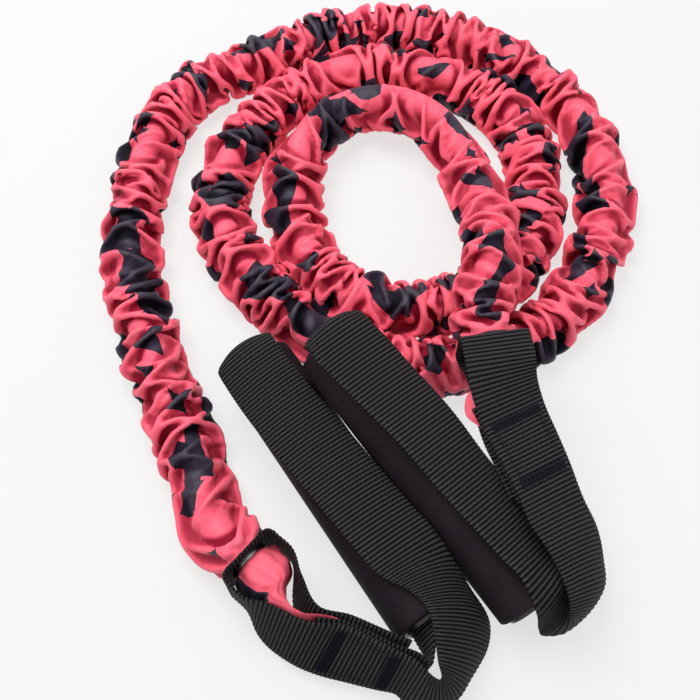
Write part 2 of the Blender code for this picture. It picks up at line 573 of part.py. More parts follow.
# Along the eyelet's axis, from the middle of the webbing: its flange and its washer, then the tube's flared end
EYE_GAP = STRAP_T / 2 + GAP + 0.1
FLARE_X = EYE_GAP + WASHER_T + GAP
places = {}
for letter, grip, build in (("a", grip_a, strap_a), ("b", grip_b, strap_b)):
    rows, place = build()
    places[letter] = place
    band = loft(rows)
    points, faces = ribbon(band, STRAP_T)
    eye, inward, width, out = place["eye"], place["inward"], place["width"], place["out"]
    strap = add_mesh("strap_" + letter, points, faces, "webbing", 50, eye)

    # The hole in the apex that the eyelet's barrel goes through
    barrel_r = EYELET_HOLE / 2 + EYELET_WALL
    cutter_points = [eye - inward * 6.0, eye + inward * 3.0]
    cutter_faces = []
    side = norm(np.cross(inward, vec(0, 0, 1)))
    up = np.cross(side, inward)
    count = 20
    for end in (-6.0, 3.0):
        for i in range(count):
            angle = 2 * math.pi * (i + 0.5) / count
            cutter_points.append(eye + inward * end + (barrel_r + GAP) * (
                math.cos(angle) * up + math.sin(angle) * side))
    for i in range(count):
        k = (i + 1) % count
        cutter_faces += [(2 + i, 2 + k, 2 + count + k, 2 + count + i), (0, 2 + k, 2 + i),
                         (1, 2 + count + i, 2 + count + k)]
    cutter_faces = outward(cutter_points, cutter_faces)
    cutter = add_mesh("cut_eye_" + letter, cutter_points, cutter_faces, "metal", None, eye)
    cutter.hide_render = True
    cutter.display_type = "WIRE"
    cut = strap.modifiers.new("eyelet hole", "BOOLEAN")
    cut.operation = "DIFFERENCE"
    cut.solver = "EXACT"
    cut.object = cutter

    hole, flange, washer = EYELET_HOLE / 2, FLANGE_D / 2, WASHER_D / 2
    inner_end = EYE_GAP + WASHER_T + 0.1
    profile = [(-EYE_GAP - FLANGE_T, hole), (inner_end, hole), (inner_end, barrel_r), (-EYE_GAP, barrel_r),
               (-EYE_GAP, flange), (-EYE_GAP - FLANGE_T * 0.4, flange), (-EYE_GAP - FLANGE_T, flange - 0.8)]
    points, faces = turned(profile, eye, inward, 24)
    add_mesh("eyelet_" + letter, points, outward(points, faces), "metal", 40, eye)
    bore = barrel_r + GAP
    profile = [(EYE_GAP, bore), (EYE_GAP + WASHER_T, bore), (EYE_GAP + WASHER_T, washer - 0.4),
               (EYE_GAP + WASHER_T * 0.5, washer), (EYE_GAP, washer)]
    points, faces = turned(profile, eye, inward, 24)
    add_mesh("eyelet_washer_" + letter, points, outward(points, faces), "metal", 40, eye)

    # Plug: a shank in the flared tube end and a head beyond it
    shank = FLARE_BORE / 2 * math.cos(math.pi / 8) - GAP
    tube_end = FLARE_X + FLARE_L
    head = FLARE_D / 2 - 1.4
    profile = [(tube_end - PLUG_L, 0.9), (tube_end + GAP + 1.6, 0.9), (tube_end + GAP + 1.6, head - 0.5),
               (tube_end + GAP + 1.1, head), (tube_end + GAP, head), (tube_end + GAP, shank),
               (tube_end - PLUG_L + 1.0, shank), (tube_end - PLUG_L, shank - 0.8)]
    points, faces = turned(profile, eye, inward, 16)
    add_mesh("tube_plug_" + letter, points, outward(points, faces), "plug", 40, eye)

    # The sleeve's flat tail, from beside the flared end into the junction
    j0, j1, w0, w1, n0, n1, run = (place[k] for k in ("j0", "j1", "w0", "w1", "n0", "n1", "run"))
    beside = FLARE_D / 2 + GAP + TAIL_T / 2 + 0.2
    t0, t1 = j0 - n0 * LAYER_TAIL, j1 - n1 * LAYER_TAIL
    end = t0 * 0.5 + t1 * 0.5
    rows = [
        station(eye + inward * (FLARE_X + 0.5) + out * beside, width, out, 0, TAIL_W * 0.72),
        station(eye + inward * (FLARE_X + FLARE_L * 0.55) + out * beside, width, out, 0, TAIL_W * 0.86),
        station(eye + inward * (FLARE_X + FLARE_L + 1.0) + out * (beside - 0.55), width, out, 0, TAIL_W),
        station(t0 - run * 9.0 + n0 * 0.2, place["w_end"], n0, 0, TAIL_W),
        station(t0, w0, n0, 0, TAIL_W),
        station(end, w0 + w1, n0 + n1, 0, TAIL_W),
    ]
    points, faces = ribbon(loft(rows, 8.0, 12.0), TAIL_T)
    add_mesh("sleeve_tail_" + letter, points, faces, "fabric", 50, eye)

    # Bartacks on both faces of the junction, and the stitch lines between them
    face = STRAP_T / 2 + 2.2 * GAP + BARTACK_T / 2
    for name, at, w, n in (("bartack_inner_", j0, w0, n0), ("bartack_outer_", j1, w1, n1)):
        for side_name, level in (("front_", face), ("back_", -LAYER_LOW - face)):
            rows = np.array([station(at + run * d + n * level, w, n, 0, STRAP_W - 2 * BARTACK_MARGIN)
                             for d in (-BARTACK_W / 2, BARTACK_W / 2)])[:, ::3]
            points, faces = ribbon(rows, BARTACK_T)
            add_mesh(name + side_name + letter, points, faces, "thread", None, eye)
    for side_name, aside in (("left_", -0.36), ("right_", 0.36)):
        rows = []
        for share in np.linspace(0, 1, 5):
            w, n = norm(w0 * (1 - share) + w1 * share), norm(n0 * (1 - share) + n1 * share)
            start = j0 + run * (BARTACK_W / 2 + GAP + 0.5)
            stop = j1 - run * (BARTACK_W / 2 + GAP + 0.5)
            mid = start * (1 - share) + stop * share
            rows.append(station(mid + n * face + w * aside * STRAP_W, w, n, 0, STITCH_W)[::3])
        points, faces = ribbon(np.array(rows), BARTACK_T)
        add_mesh("box_stitch_" + side_name + letter, points, faces, "thread", None, eye)

    # Core and foam, turned about the grip's axis; a flat face of the foam points down
    sides = 32
    turn_by = math.pi / sides
    near, far = CORE_OUT, -FOAM_L - CORE_OUT
    r, b, c = CORE_D / 2, CORE_BORE / 2, CORE_CHAMFER
    profile = [(far, b), (near, b), (near, r - c), (near - c, r), (far + c, r), (far, r - c)]
    points, faces = turned(profile, grip.low, grip.axis, sides, turn_by)
    add_mesh("grip_core_" + letter, points, outward(points, faces), "core", 40, grip.low)
    r = FOAM_D / 2 / math.cos(turn_by)
    b, c = CORE_D / 2 + GAP, FOAM_CHAMFER
    profile = [(-FOAM_L, b), (0.0, b), (0.0, r - c), (-c, r), (-FOAM_L + c, r), (-FOAM_L, r - c)]
    points, faces = turned(profile, grip.low, grip.axis, sides, turn_by)
    add_mesh("foam_grip_" + letter, points, outward(points, faces), "foam", 40, grip.low)


# The tube's middle line, from inside eye A to inside eye B, straight through both eyelets

STRAIGHT = 12.0


def middle_line():
    a, b = places["a"], places["b"]
    start = [a["eye"] - a["inward"] * x for x in (STRAIGHT - 8, STRAIGHT - 4, STRAIGHT)]
    stop = [b["eye"] - b["inward"] * x for x in (STRAIGHT, STRAIGHT - 4, STRAIGHT - 8)]
    route = start + [vec(x, y, z + LIE) for x, y, z in ROUTE] + stop
    knots = chords(np.array(route))
    at = np.linspace(knots[2], knots[-3], 4000)
    free = natural_spline(knots, np.array(route), at)
    inner_end = FLARE_X + FLARE_L
    first = np.array([a["eye"] + a["inward"] * x for x in np.linspace(inner_end, -STRAIGHT, 60)])
    last = np.array([b["eye"] + b["inward"] * x for x in np.linspace(-STRAIGHT, inner_end, 60)])
    return np.concatenate([first[:-1], free, last[1:]])


line = middle_line()
length = chords(line)[-1]
inner = FLARE_X + FLARE_L


def steps_along(sag):
    """Lengths along the line whose chords stay within sag of it."""
    s = chords(line)
    even = np.linspace(0, length, 2400)
    pts = read_at(line, even)
    head = norm(np.gradient(pts, axis=0))
    bend = np.linalg.norm(np.gradient(head, axis=0), axis=1) / (even[1] - even[0])
    smooth = np.convolve(np.pad(bend, 12, mode="edge"), np.ones(25) / 25, mode="valid")
    pitch = np.sqrt(8 * sag / np.maximum(smooth, 1 / 90.0))
    total = np.concatenate([[0.0], np.cumsum(np.diff(even) / pitch[1:])])
    count = int(math.ceil(total[-1]))
    return np.interp(np.linspace(0, total[-1], count + 1), total, even)


def tube_mesh(name, at, radii, resolution=2):
    """Mesh of a curve with round bevel and filled caps through the line's points at the given lengths."""
    curve = bpy.data.curves.new(name, "CURVE")
    curve.dimensions = "3D"
    curve.twist_mode = "MINIMUM"
    curve.bevel_depth = 0.001
    curve.bevel_resolution = resolution
    curve.use_fill_caps = True
    spline = curve.splines.new("POLY")
    pts = read_at(line, np.asarray(at)) - shift
    spline.points.add(len(pts) - 1)
    for i, p in enumerate(pts):
        spline.points[i].co = (p[0] / 1000, p[1] / 1000, p[2] / 1000, 1.0)
        spline.points[i].radius = float(radii[i])
    holder = bpy.data.objects.new(name + "_line", curve)
    bpy.context.scene.collection.objects.link(holder)
    graph = bpy.context.evaluated_depsgraph_get()
    mesh = bpy.data.meshes.new_from_object(holder.evaluated_get(graph))
    mesh.name = name
    bpy.data.objects.remove(holder, do_unlink=True)
    return mesh


def add_tube(name, mesh, mat):
    obj = bpy.data.objects.new(name, mesh)
    mesh.materials.clear()
    mesh.materials.append(MATERIALS[mat])
    bpy.context.scene.collection.objects.link(obj)
    mesh.shade_smooth()
    mesh.set_sharp_from_angle(angle=math.radians(50))
    return obj


def bore_out(obj, mesh):
    cutter = bpy.data.objects.new("cut_" + obj.name, mesh)
    cutter.hide_render = True
    cutter.display_type = "WIRE"
    bpy.context.scene.collection.objects.link(cutter)
    cut = obj.modifiers.new("bore", "BOOLEAN")
    cut.operation = "DIFFERENCE"
    cut.solver = "EXACT"
    cut.object = cutter
    return cutter


# Latex tube with a flared end on each plug
body_at = steps_along(0.75)
plain = body_at[(body_at > inner + 4) & (body_at < length - inner - 4)]
flare = [0.0, FLARE_L - 2.6, FLARE_L]
tube_at = np.concatenate([flare, plain, [length - v for v in reversed(flare)]])
tube_r = np.full(len(tube_at), TUBE_D / 2)
tube_r[:2] = tube_r[-2:] = FLARE_D / 2
tube = add_tube("latex_tube", tube_mesh("latex_tube", tube_at, tube_r), "latex")
bore_r = np.full(len(tube_at), TUBE_BORE / 2)
bore_r[:2] = bore_r[-2:] = FLARE_BORE / 2
cut_mesh = tube_mesh("cut_latex", tube_at, bore_r)
# The bore runs on past both ends of the tube
ends = [(read_at(line, np.array([a]))[0], d) for a, d in (
    (0.0, places["a"]["inward"]), (length, places["b"]["inward"]))]
for vert in cut_mesh.vertices:
    for point, heading in ends:
        local = (point - shift) / 1000
        rel = np.array(vert.co) - local
        if abs(rel @ heading) < 0.0004 and np.linalg.norm(rel) < 0.008:
            vert.co = tuple(np.array(vert.co) + heading * 0.001)
bore_out(tube, cut_mesh)

# Gathered sleeve: two rows of points to a fold, crests and valleys of unlike height
sleeve_from = inner + EYE_GAP + FLANGE_T + GAP
fold_at = np.linspace(sleeve_from, length - sleeve_from, 2 * FOLDS + 1)
crest, valley = CREST_D / 2, VALLEY_D / 2
k = np.arange(2 * FOLDS + 1)
uneven = 0.35 * np.sin(k * 1.7) + 0.25 * np.sin(k * 0.61 + 1.0)
fold_r = np.where(k % 2 == 1, crest - 0.35 + 0.35 * uneven, valley + 0.3 + 0.5 * uneven)
fold_r = np.minimum(fold_r, crest)
from_end = np.minimum(fold_at - fold_at[0], fold_at[-1] - fold_at)
neck = FLANGE_D / 2 - 0.6
fold_r = np.minimum(fold_r, neck + np.maximum(from_end - 2.0, 0) * 0.35)
sleeve = add_tube("sleeve", tube_mesh("sleeve", fold_at, fold_r), "fabric")
bore_at = np.concatenate([[sleeve_from - 1.5], plain[(plain > sleeve_from + 3) & (plain < length - sleeve_from - 3)],
                          [length - sleeve_from + 1.5]])
bore_out(sleeve, tube_mesh("cut_sleeve", bore_at, np.full(len(bore_at), SLEEVE_BORE / 2)))
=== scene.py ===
"""Looks of the resistance tube with handles: gathered sleeve, webbing, foam grips, metal and light.

Shapes are worked out in millimetres, in the same frame as the CAD source before its shift, and are
turned into metres where a mesh is made.
"""

import math
from types import SimpleNamespace

import bpy
import numpy as np
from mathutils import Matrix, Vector


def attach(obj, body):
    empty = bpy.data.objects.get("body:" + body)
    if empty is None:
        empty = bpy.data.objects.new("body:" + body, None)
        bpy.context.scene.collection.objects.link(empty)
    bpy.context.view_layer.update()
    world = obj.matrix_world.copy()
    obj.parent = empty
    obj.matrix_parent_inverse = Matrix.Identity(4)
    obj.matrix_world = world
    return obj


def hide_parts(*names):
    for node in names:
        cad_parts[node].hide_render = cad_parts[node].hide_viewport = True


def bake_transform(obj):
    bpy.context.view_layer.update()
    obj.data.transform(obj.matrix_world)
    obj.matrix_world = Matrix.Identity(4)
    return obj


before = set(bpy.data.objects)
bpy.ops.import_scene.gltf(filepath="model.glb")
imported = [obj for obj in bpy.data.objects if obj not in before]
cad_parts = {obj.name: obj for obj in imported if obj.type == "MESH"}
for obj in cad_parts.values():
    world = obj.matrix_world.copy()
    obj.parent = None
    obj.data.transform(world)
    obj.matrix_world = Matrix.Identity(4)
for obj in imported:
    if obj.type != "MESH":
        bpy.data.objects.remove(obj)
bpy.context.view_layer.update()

# Foam grip and its core
FOAM_WALL = 2.7
FOAM_L = 113.0
CORE_D = 22.0
CORE_WALL = 1.5
CORE_BORE = CORE_D - 2 * CORE_WALL
CORE_OUT = 1.5

# Webbing
STRAP_W = 25.0
STRAP_T = 1.4

# Latex tube, its plugs and the eyelets that they sit behind
TUBE_D = 11.0
TUBE_BORE = 6.0
FLARE_D = 14.4
FLARE_BORE = 9.2
FLARE_L = 10.0
PLUG_L = 8.0
EYELET_HOLE = 12.4
EYELET_WALL = 0.7
FLANGE_D = 16.6
FLANGE_T = 0.8
WASHER_D = 15.6
WASHER_T = 0.8

# Gathered sleeve: the crest of its folds, and its flattened ends
CREST_D = 20.8
TAIL_W = 19.0
TAIL_T = 1.0

# Stitching: how far a bartack's zigzag reaches each way along the band, and what it leaves free at the edges
BARTACK_REACH = 2.1
BARTACK_MARGIN = 2.5

# Touching pieces keep this clearance
GAP = 0.3
FOAM_D = CORE_D + 2 * (GAP + FOAM_WALL)

# Where the middle of the two handles stands, so that the origin is under the middle of their box
CENTRE_X = 20.15
CENTRE_Y = -71.1

# Grips: the low end of each axis, its heading on the floor, and the height of its far end's axis over the
# low end's
LOW_A = (27.4, -107.1)
HEADING_A = -56.3
RISE_A = 0.0
LOW_B = (62.6, -101.5)
HEADING_B = -51.7
RISE_B = 20.0

# The middle of each eye's apex, where the tube leaves through the eyelet
EYE_A = (-35.6, -87.4, 13.4)
EYE_B = (51.1, -13.2, 31.9)

# Height of the middle of the tube where it lies on the surface
LIE = CREST_D / 2 + 0.6

# Route of the tube from handle A to handle B: x, y and height over LIE
ROUTE = [
    (-50.8, -68.6, 0.8), (-57.0, -51.0, 0.2), (-66.6, -28.5, 0.0), (-77.0, -5.0, 0.0), (-86.0, 21.0, 0.0),
    (-90.2, 50.0, 0.0), (-88.4, 79.9, 0.0), (-80.5, 108.5, 0.0), (-63.5, 130.5, 0.0),
    (-43.0, 140.5, 0.0), (-21.0, 152.5, 0.0), (4.0, 160.5, 0.0), (30.0, 160.3, 0.0),
    (56.0, 153.0, 0.0), (80.0, 136.5, 0.0), (99.0, 113.5, 0.0), (107.0, 86.0, 0.0),
    (106.3, 59.0, 0.0), (98.0, 34.0, 0.0), (82.5, 11.5, 0.0), (59.5, -3.5, -0.4),
    (32.0, -10.5, -0.4), (4.0, -5.5, -0.4), (-21.8, 10.0, 0.0), (-43.0, 33.5, 0.0),
    (-54.6, 62.0, 0.0), (-48.5, 91.0, 0.0), (-30.0, 117.0, 0.0), (-5.0, 134.0, 0.0),
    (23.0, 136.6, 0.0), (51.0, 127.0, 0.0), (71.5, 107.0, 0.0), (78.3, 80.0, 0.0),
    (74.9, 52.7, -0.2), (61.0, 28.0, -0.4), (35.5, 15.2, 0.0), (7.5, 16.8, 0.0),
    (-13.5, 33.5, 0.0), (-23.4, 60.0, 0.6), (-22.0, 86.0, 3.0), (-5.0, 108.5, 5.0),
    (18.0, 112.6, 6.0), (37.5, 101.5, 6.2), (47.5, 82.0, 7.0), (52.6, 61.0, 10.8),
    (55.2, 43.5, 17.4), (54.8, 27.5, 21.8), (51.4, 13.0, 21.7),
]


def norm(v):
    return v / np.linalg.norm(v, axis=-1, keepdims=True)


def vec(*v):
    return np.array(v, float)


def natural_spline(knots, points, at):
    """Natural cubic spline through points, given at the knots and read at the values of at."""
    knots, points = np.asarray(knots, float), np.asarray(points, float)
    n, h = len(knots), np.diff(knots)
    rows, right = np.eye(n), np.zeros((n,) + points.shape[1:])
    for i in range(1, n - 1):
        rows[i, i - 1:i + 2] = h[i - 1], 2 * (h[i - 1] + h[i]), h[i]
        right[i] = 6 * ((points[i + 1] - points[i]) / h[i] - (points[i] - points[i - 1]) / h[i - 1])
    bend = np.linalg.solve(rows, right.reshape(n, -1)).reshape(right.shape)
    k = np.clip(np.searchsorted(knots, at, side="right") - 1, 0, n - 2)
    shape = (-1,) + (1,) * (points.ndim - 1)
    a = (at - knots[k]).reshape(shape)
    b = (knots[k + 1] - at).reshape(shape)
    w = h[k].reshape(shape)
    return ((bend[k] * b ** 3 + bend[k + 1] * a ** 3) / (6 * w)
            + (points[k] / w - bend[k] * w / 6) * b + (points[k + 1] / w - bend[k + 1] * w / 6) * a)


def local_spline(knots, points, at):
    """Smooth curve through points, each span shaped by its own and its neighbours' points."""
    knots, points = np.asarray(knots, float), np.asarray(points, float)
    h = np.diff(knots).reshape((-1,) + (1,) * (points.ndim - 1))
    slope = np.diff(points, axis=0) / h
    inner = (slope[:-1] * h[1:] + slope[1:] * h[:-1]) / (h[1:] + h[:-1])
    lean = np.concatenate([slope[:1], inner, slope[-1:]])
    k = np.clip(np.searchsorted(knots, at, side="right") - 1, 0, len(knots) - 2)
    w = h[k]
    t = (at - knots[k]).reshape((-1,) + (1,) * (points.ndim - 1)) / w
    return (points[k] * (2 * t ** 3 - 3 * t ** 2 + 1) + lean[k] * w * (t ** 3 - 2 * t ** 2 + t)
            + points[k + 1] * (3 * t ** 2 - 2 * t ** 3) + lean[k + 1] * w * (t ** 3 - t ** 2))


def chords(points):
    steps = np.linalg.norm(np.diff(points, axis=0), axis=1)
    return np.concatenate([[0.0], np.cumsum(steps)])


def full_turn(count):
    """Angles evenly round a circle."""
    return 2 * math.pi * np.arange(count) / count


def spokes(angle, up, side):
    """Directions at the angles round each point of a line: shape (points, angles, 3)."""
    return np.cos(angle)[None, :, None] * up[:, None] + np.sin(angle)[None, :, None] * side[:, None]


def cloth_map(across, along):
    """Flat coordinates in metres of a grid, from the places of its columns and rows in millimetres."""
    return np.stack(np.broadcast_arrays(across[None, :], along[:, None]), -1) / 1000


def read_at(curve, at):
    """Points of a finely sampled curve at the given lengths along it."""
    s = chords(curve)
    return np.stack([np.interp(at, s, curve[:, i]) for i in range(3)], axis=1)


# Ribbons: each station is a row of seven points across the band

ACROSS = np.linspace(-0.5, 0.5, 7)


def station(centre, width, out, curl=0.0):
    """Row across the band. curl is one over the radius that the band curls to, away from out."""
    centre, width, out = np.asarray(centre, float), norm(np.asarray(width, float)), np.asarray(out, float)
    out = norm(out - width * np.dot(out, width))
    s = ACROSS * STRAP_W
    if abs(curl) < 1e-6:
        across, sink = s, s * 0
    else:
        across, sink = np.sin(s * curl) / curl, (1 - np.cos(s * curl)) / curl
    return centre + across[:, None] * width - sink[:, None] * out


def drape(first, middle, last):
    """Row across the band through three points."""
    f, m, b = (np.asarray(p, float) for p in (first, middle, last))
    t = (ACROSS + 0.5)[:, None]
    return f * (1 - t) * (1 - 2 * t) + m * 4 * t * (1 - t) + b * t * (2 * t - 1)


def band_normals(rows):
    along = np.gradient(rows, axis=0)
    across = np.gradient(rows, axis=1)
    return norm(np.cross(along, across))


# Radius of the foam that the draped rows below are placed round
DRAPED_R = 14.0


class Grip:
    """Place of one grip: low is the middle of the foam's low end."""

    def __init__(self, low, heading, rise):
        angle = math.radians(heading)
        self.u = vec(math.cos(angle), math.sin(angle), 0)
        self.n = vec(-self.u[1], self.u[0], 0)
        self.low = vec(low[0], low[1], FOAM_D / 2)
        run = math.sqrt(FOAM_L ** 2 - rise ** 2)
        self.axis = norm(run * self.u - vec(0, 0, rise))
        self.up = np.cross(self.axis, self.n)
        self.top = self.low - FOAM_L * self.axis

    def flat(self, along, side, height):
        """A point by its level distance past the low end, to the left of the axis, and height, as over a foam
        of the radius DRAPED_R; with another foam it moves out or in with the surface."""
        seat = FOAM_D / 2 - DRAPED_R
        rel = vec(side, height - DRAPED_R)
        far = np.linalg.norm(rel)
        rel = rel * (1 + seat / max(far, 1.0))
        return vec(self.low[0], self.low[1], 0) + along * self.u + rel[0] * self.n + vec(
            0, 0, rel[1] + FOAM_D / 2)

    def way(self, along, side, height):
        """A direction by its parts along the axis' heading, to its left and up."""
        return along * self.u + side * self.n + vec(0, 0, height)

    def round(self, along, angle, radius, aside=0.0):
        """A point by its distance past the low end along the axis, and its angle from up to the left."""
        return self.low + along * self.axis + radius * self.out(angle) + aside * self.around(angle)

    def out(self, angle):
        a = math.radians(angle)
        return math.sin(a) * self.n + math.cos(a) * self.up

    def around(self, angle):
        a = math.radians(angle)
        return math.cos(a) * self.n - math.sin(a) * self.up

    def drapes(self, table):
        """Rows across the band, each through three points: nine numbers, as flat takes them."""
        return [drape(*(self.flat(*row[k:k + 3]) for k in (0, 3, 6))) for row in table]


# Distance of the band's middle from the grip's axis, over the foam and inside the core, and how far past the
# foam's end it turns
SEAT_R = FOAM_D / 2 + GAP + STRAP_T / 2
BORE_R = CORE_BORE / 2 - GAP - STRAP_T / 2
PASS = CORE_OUT + GAP

grip_a = Grip(LOW_A, HEADING_A, RISE_A)
grip_b = Grip(LOW_B, HEADING_B, RISE_B)

# Layers of a junction, counted down from the layer that runs on from the eye to the outer arm
LAYER_GAP = 0.55
LAYER_P = STRAP_T + LAYER_GAP
LAYER_TAIL = LAYER_P + STRAP_T / 2 + LAYER_GAP + TAIL_T / 2
LAYER_LOW = LAYER_TAIL + TAIL_T / 2 + LAYER_GAP + STRAP_T / 2


def over_grip(grip, hand, table):
    """Rows over the grip, each by its place along and round it, sideways shift and curl. hand is the side,
    1 or -1, that the band's first edge points away from."""
    return [station(grip.round(along, angle, SEAT_R + aside ** 2 * curl / 2 + 0.12, aside),
                    hand * grip.around(angle), grip.out(angle), curl) for along, angle, aside, curl in table]


def through(grip, hand, table):
    """Rows inside the core, hugging its wall at the given places along it and angles."""
    return [station(grip.round(along, angle, BORE_R), hand * grip.around(angle), grip.out(angle), 1 / BORE_R)
            for along, angle in table]


def top_fold(grip, hand, angle):
    """Rows of the fold over the far rim, from over the foam to inside the core. The stiff band lies flat over
    the foam, and its edges turn in sooner than its middle, so that the fold is rounded."""
    end = -FOAM_L
    rim = end - CORE_OUT
    mean = (SEAT_R + BORE_R) / 2

    def row(along, radius, curl, lag):
        flat = station(grip.round(along, angle, radius), hand * grip.around(angle), grip.out(angle), curl)
        return flat + (lag * (2 * ACROSS) ** 2)[:, None] * grip.axis

    return [
        row(end + 6.0, SEAT_R + 0.1, 1 / 42, 0.0),
        row(end + 0.5, SEAT_R + 0.1, 1 / 32, 0.0),
        row(rim - 1.6, SEAT_R - 0.5, 1 / 24, 1.2),
        row(rim - 3.0, mean + 1.4, 1 / 18, 1.7),
        row(rim - 2.9, mean - 1.0, 1 / 13, 1.5),
        row(rim - 2.0, BORE_R + 0.6, 1 / 10, 0.7),
        row(rim - 0.3, BORE_R, 1 / BORE_R, 0.1),
        row(rim + 4.0, BORE_R, 1 / BORE_R, 0.0),
    ]


def eye_rows(eye, inward, width, out, high):
    """Rows round the apex of an eye from its low layer to its top layer, which are high from its middle."""
    bend = 2.6
    flat = high - bend
    near = [(10.0, high + 0.1), (bend + 2.2, high), (bend, high),
            (bend * (1 - math.sin(math.pi / 4)), flat + bend * math.cos(math.pi / 4)), (0.0, flat)]
    places = [(x, -y) for x, y in near] + [(0, -flat * 0.5), (0, 0), (0, flat * 0.5)] + near[::-1]
    return [station(eye + inward * x + out * y, width, out) for x, y in places]


class Junction:
    """The sewn stack of webbing and sleeve, from its end by the eye, 0, to its end by the grip, 1. At each
    end w lies across the band and n out of it; w_end lies across it a little before the end by the eye."""

    def __init__(self, j0, j1, w0, w1, w_end, hand):
        self.j0, self.j1, self.w0, self.w1, self.w_end = j0, j1, w0, w1, w_end
        self.run = norm(j1 - j0)
        self.n0, self.n1 = (norm(-hand * np.cross(self.run, w)) for w in (w0, w1))

    def before(self, along, drop):
        """A point before the end by the eye, drop under the outermost layer."""
        return self.j0 - self.run * along - self.n0 * drop

    def after(self, along, drop):
        """A point past the end by the grip, drop under the outermost layer."""
        return self.j1 + self.run * along - self.n1 * drop

    def rows(self, drop, way=1):
        """The rows of one layer; way is -1 where the band runs back through the stack."""
        a, b = self.before(0, drop), self.after(0, drop)
        return [station(a, way * self.w0, self.n0),
                station((a + b) / 2, way * (self.w0 + self.w1), self.n0 + self.n1),
                station(b, way * self.w1, self.n1)]


# Strap of handle A. Its eye stands on edge, and the outer arm stands beyond the grip's low end.

def strap_a():
    g, hand = grip_a, 1
    eye = vec(*EYE_A)
    inward = norm(g.way(0.968, 0.250, 0))
    width = vec(0, 0, -1)
    out = norm(g.way(0.250, -0.968, 0))
    joint = Junction(g.flat(-9.6, -34.2, 14.6), g.flat(6.4, -22.2, 14.9), g.way(0.226, -0.598, -0.769),
                     g.way(0.16, -0.42, -0.893), g.way(0.17, -0.46, -0.87), hand)
    n0, n1, w_end = joint.n0, joint.n1, joint.w_end
    rows = [station(joint.after(3.0, LAYER_LOW), joint.w1, n1)] + joint.rows(LAYER_LOW)[::-1]
    rows += [
        station(joint.before(9.0, LAYER_LOW + 0.6) + vec(0, 0, 0.8), w_end, n0),
        station(g.flat(-33.0, -32.6, 13.8), g.way(0.07, -0.22, -0.975), g.way(0.5, -0.86, 0.1)),
    ]
    rows += eye_rows(eye, inward, width, out, 12.0 - STRAP_T / 2)
    rows += [
        station(g.flat(-31.5, -48.0, 13.6), g.way(0.09, -0.27, -0.955), g.way(0.3, -0.92, 0.2)),
        station(joint.before(10.0, -1.5) - vec(0, 0, 0.6), w_end, n0),
    ]
    rows += joint.rows(0) + [station(joint.after(6.0, 0), g.way(0.13, -0.36, -0.92), n1)]
    rows += g.drapes([
        (16.0, -12.6, 25.4, 18.6, -18.0, 13.6, 19.6, -21.4, 1.6),
        (18.8, -11.2, 25.7, 24.0, -13.4, 13.5, 25.0, -14.6, 1.3),
        (18.2, -9.9, 26.0, 24.2, -7.6, 13.4, 25.4, -7.0, 1.3),
        (14.6, -8.6, 26.6, 20.6, -1.6, 14.6, 22.6, 1.4, 1.5),
        (8.0, -5.4, 28.0, 14.6, 5.2, 16.4, 18.6, 11.0, 2.4),
        (0.2, -2.4, 29.9, 6.8, 9.6, 22.4, 12.0, 16.6, 7.2),
        (-7.6, -3.4, 30.4, -4.0, 8.6, 27.8, 0.6, 16.0, 16.8),
    ])
    rows += over_grip(g, hand, [
        (-20.0, 5.0, 2.0, 1 / 60),
        (-34.0, 2.0, 1.1, 1 / 50),
        (-48.0, -1.0, 0.5, 1 / 45),
        (-64.0, -6.0, 0.2, 1 / 50),
        (-78.0, -11.0, 0.0, 1 / 55),
        (-90.0, -15.0, 0.0, 1 / 60),
        (-102.0, -17.0, 0.0, 1 / 48),
    ])
    rows += top_fold(g, hand, -17.0)
    rows += through(g, hand, [(-100.0, -18.0), (-80.0, -28.0), (-60.0, -45.0), (-40.0, -60.0), (-20.0, -75.0),
                              (-6.0, -80.0), (PASS, -80.0)])
    rows += [
        station(g.flat(5.4, -8.4, 14.0), g.way(0, 0.1, 1), g.way(0, -1, 0), 1 / 14),
        station(g.flat(10.4, -8.9, 13.8), g.way(0.05, 0.05, 1), g.way(0.5, -0.85, 0), 1 / 60),
        station(g.flat(13.0, -11.7, 13.8), g.way(0, 0.1, 1), g.way(1, -0.2, 0)),
        station(g.flat(10.2, -15.4, 13.9), g.way(-0.1, 0.3, 0.95), g.way(0.6, 0.8, 0)),
        station(joint.after(2.6, LAYER_P + 0.5), -g.way(0.147, -0.394, -0.905), n1),
    ]
    rows += joint.rows(LAYER_P, -1)[::-1]
    rows.append(station(joint.before(9.0, LAYER_P - 0.7) - vec(0, 0, 0.2), -w_end, n0))
    tail_way = [(g.flat(-34.4, -40.4, 15.2), g.way(0, 0, -1), out, 5.4),
                (g.flat(-28.6, -41.0, 16.6), g.way(0.05, -0.2, -0.97), out, 2.3),
                (g.flat(-21.6, -40.6, 17.2), w_end, n0, 0.9)]
    return SimpleNamespace(rows=rows, eye=eye, inward=inward, width=width, out=out, joint=joint,
                           tail_way=tail_way, tail_aside=2.4, tail_full=1.6)


# Strap of handle B. Its eye lies flat over the spiral, and its outer arm lies on the near side of the grip.

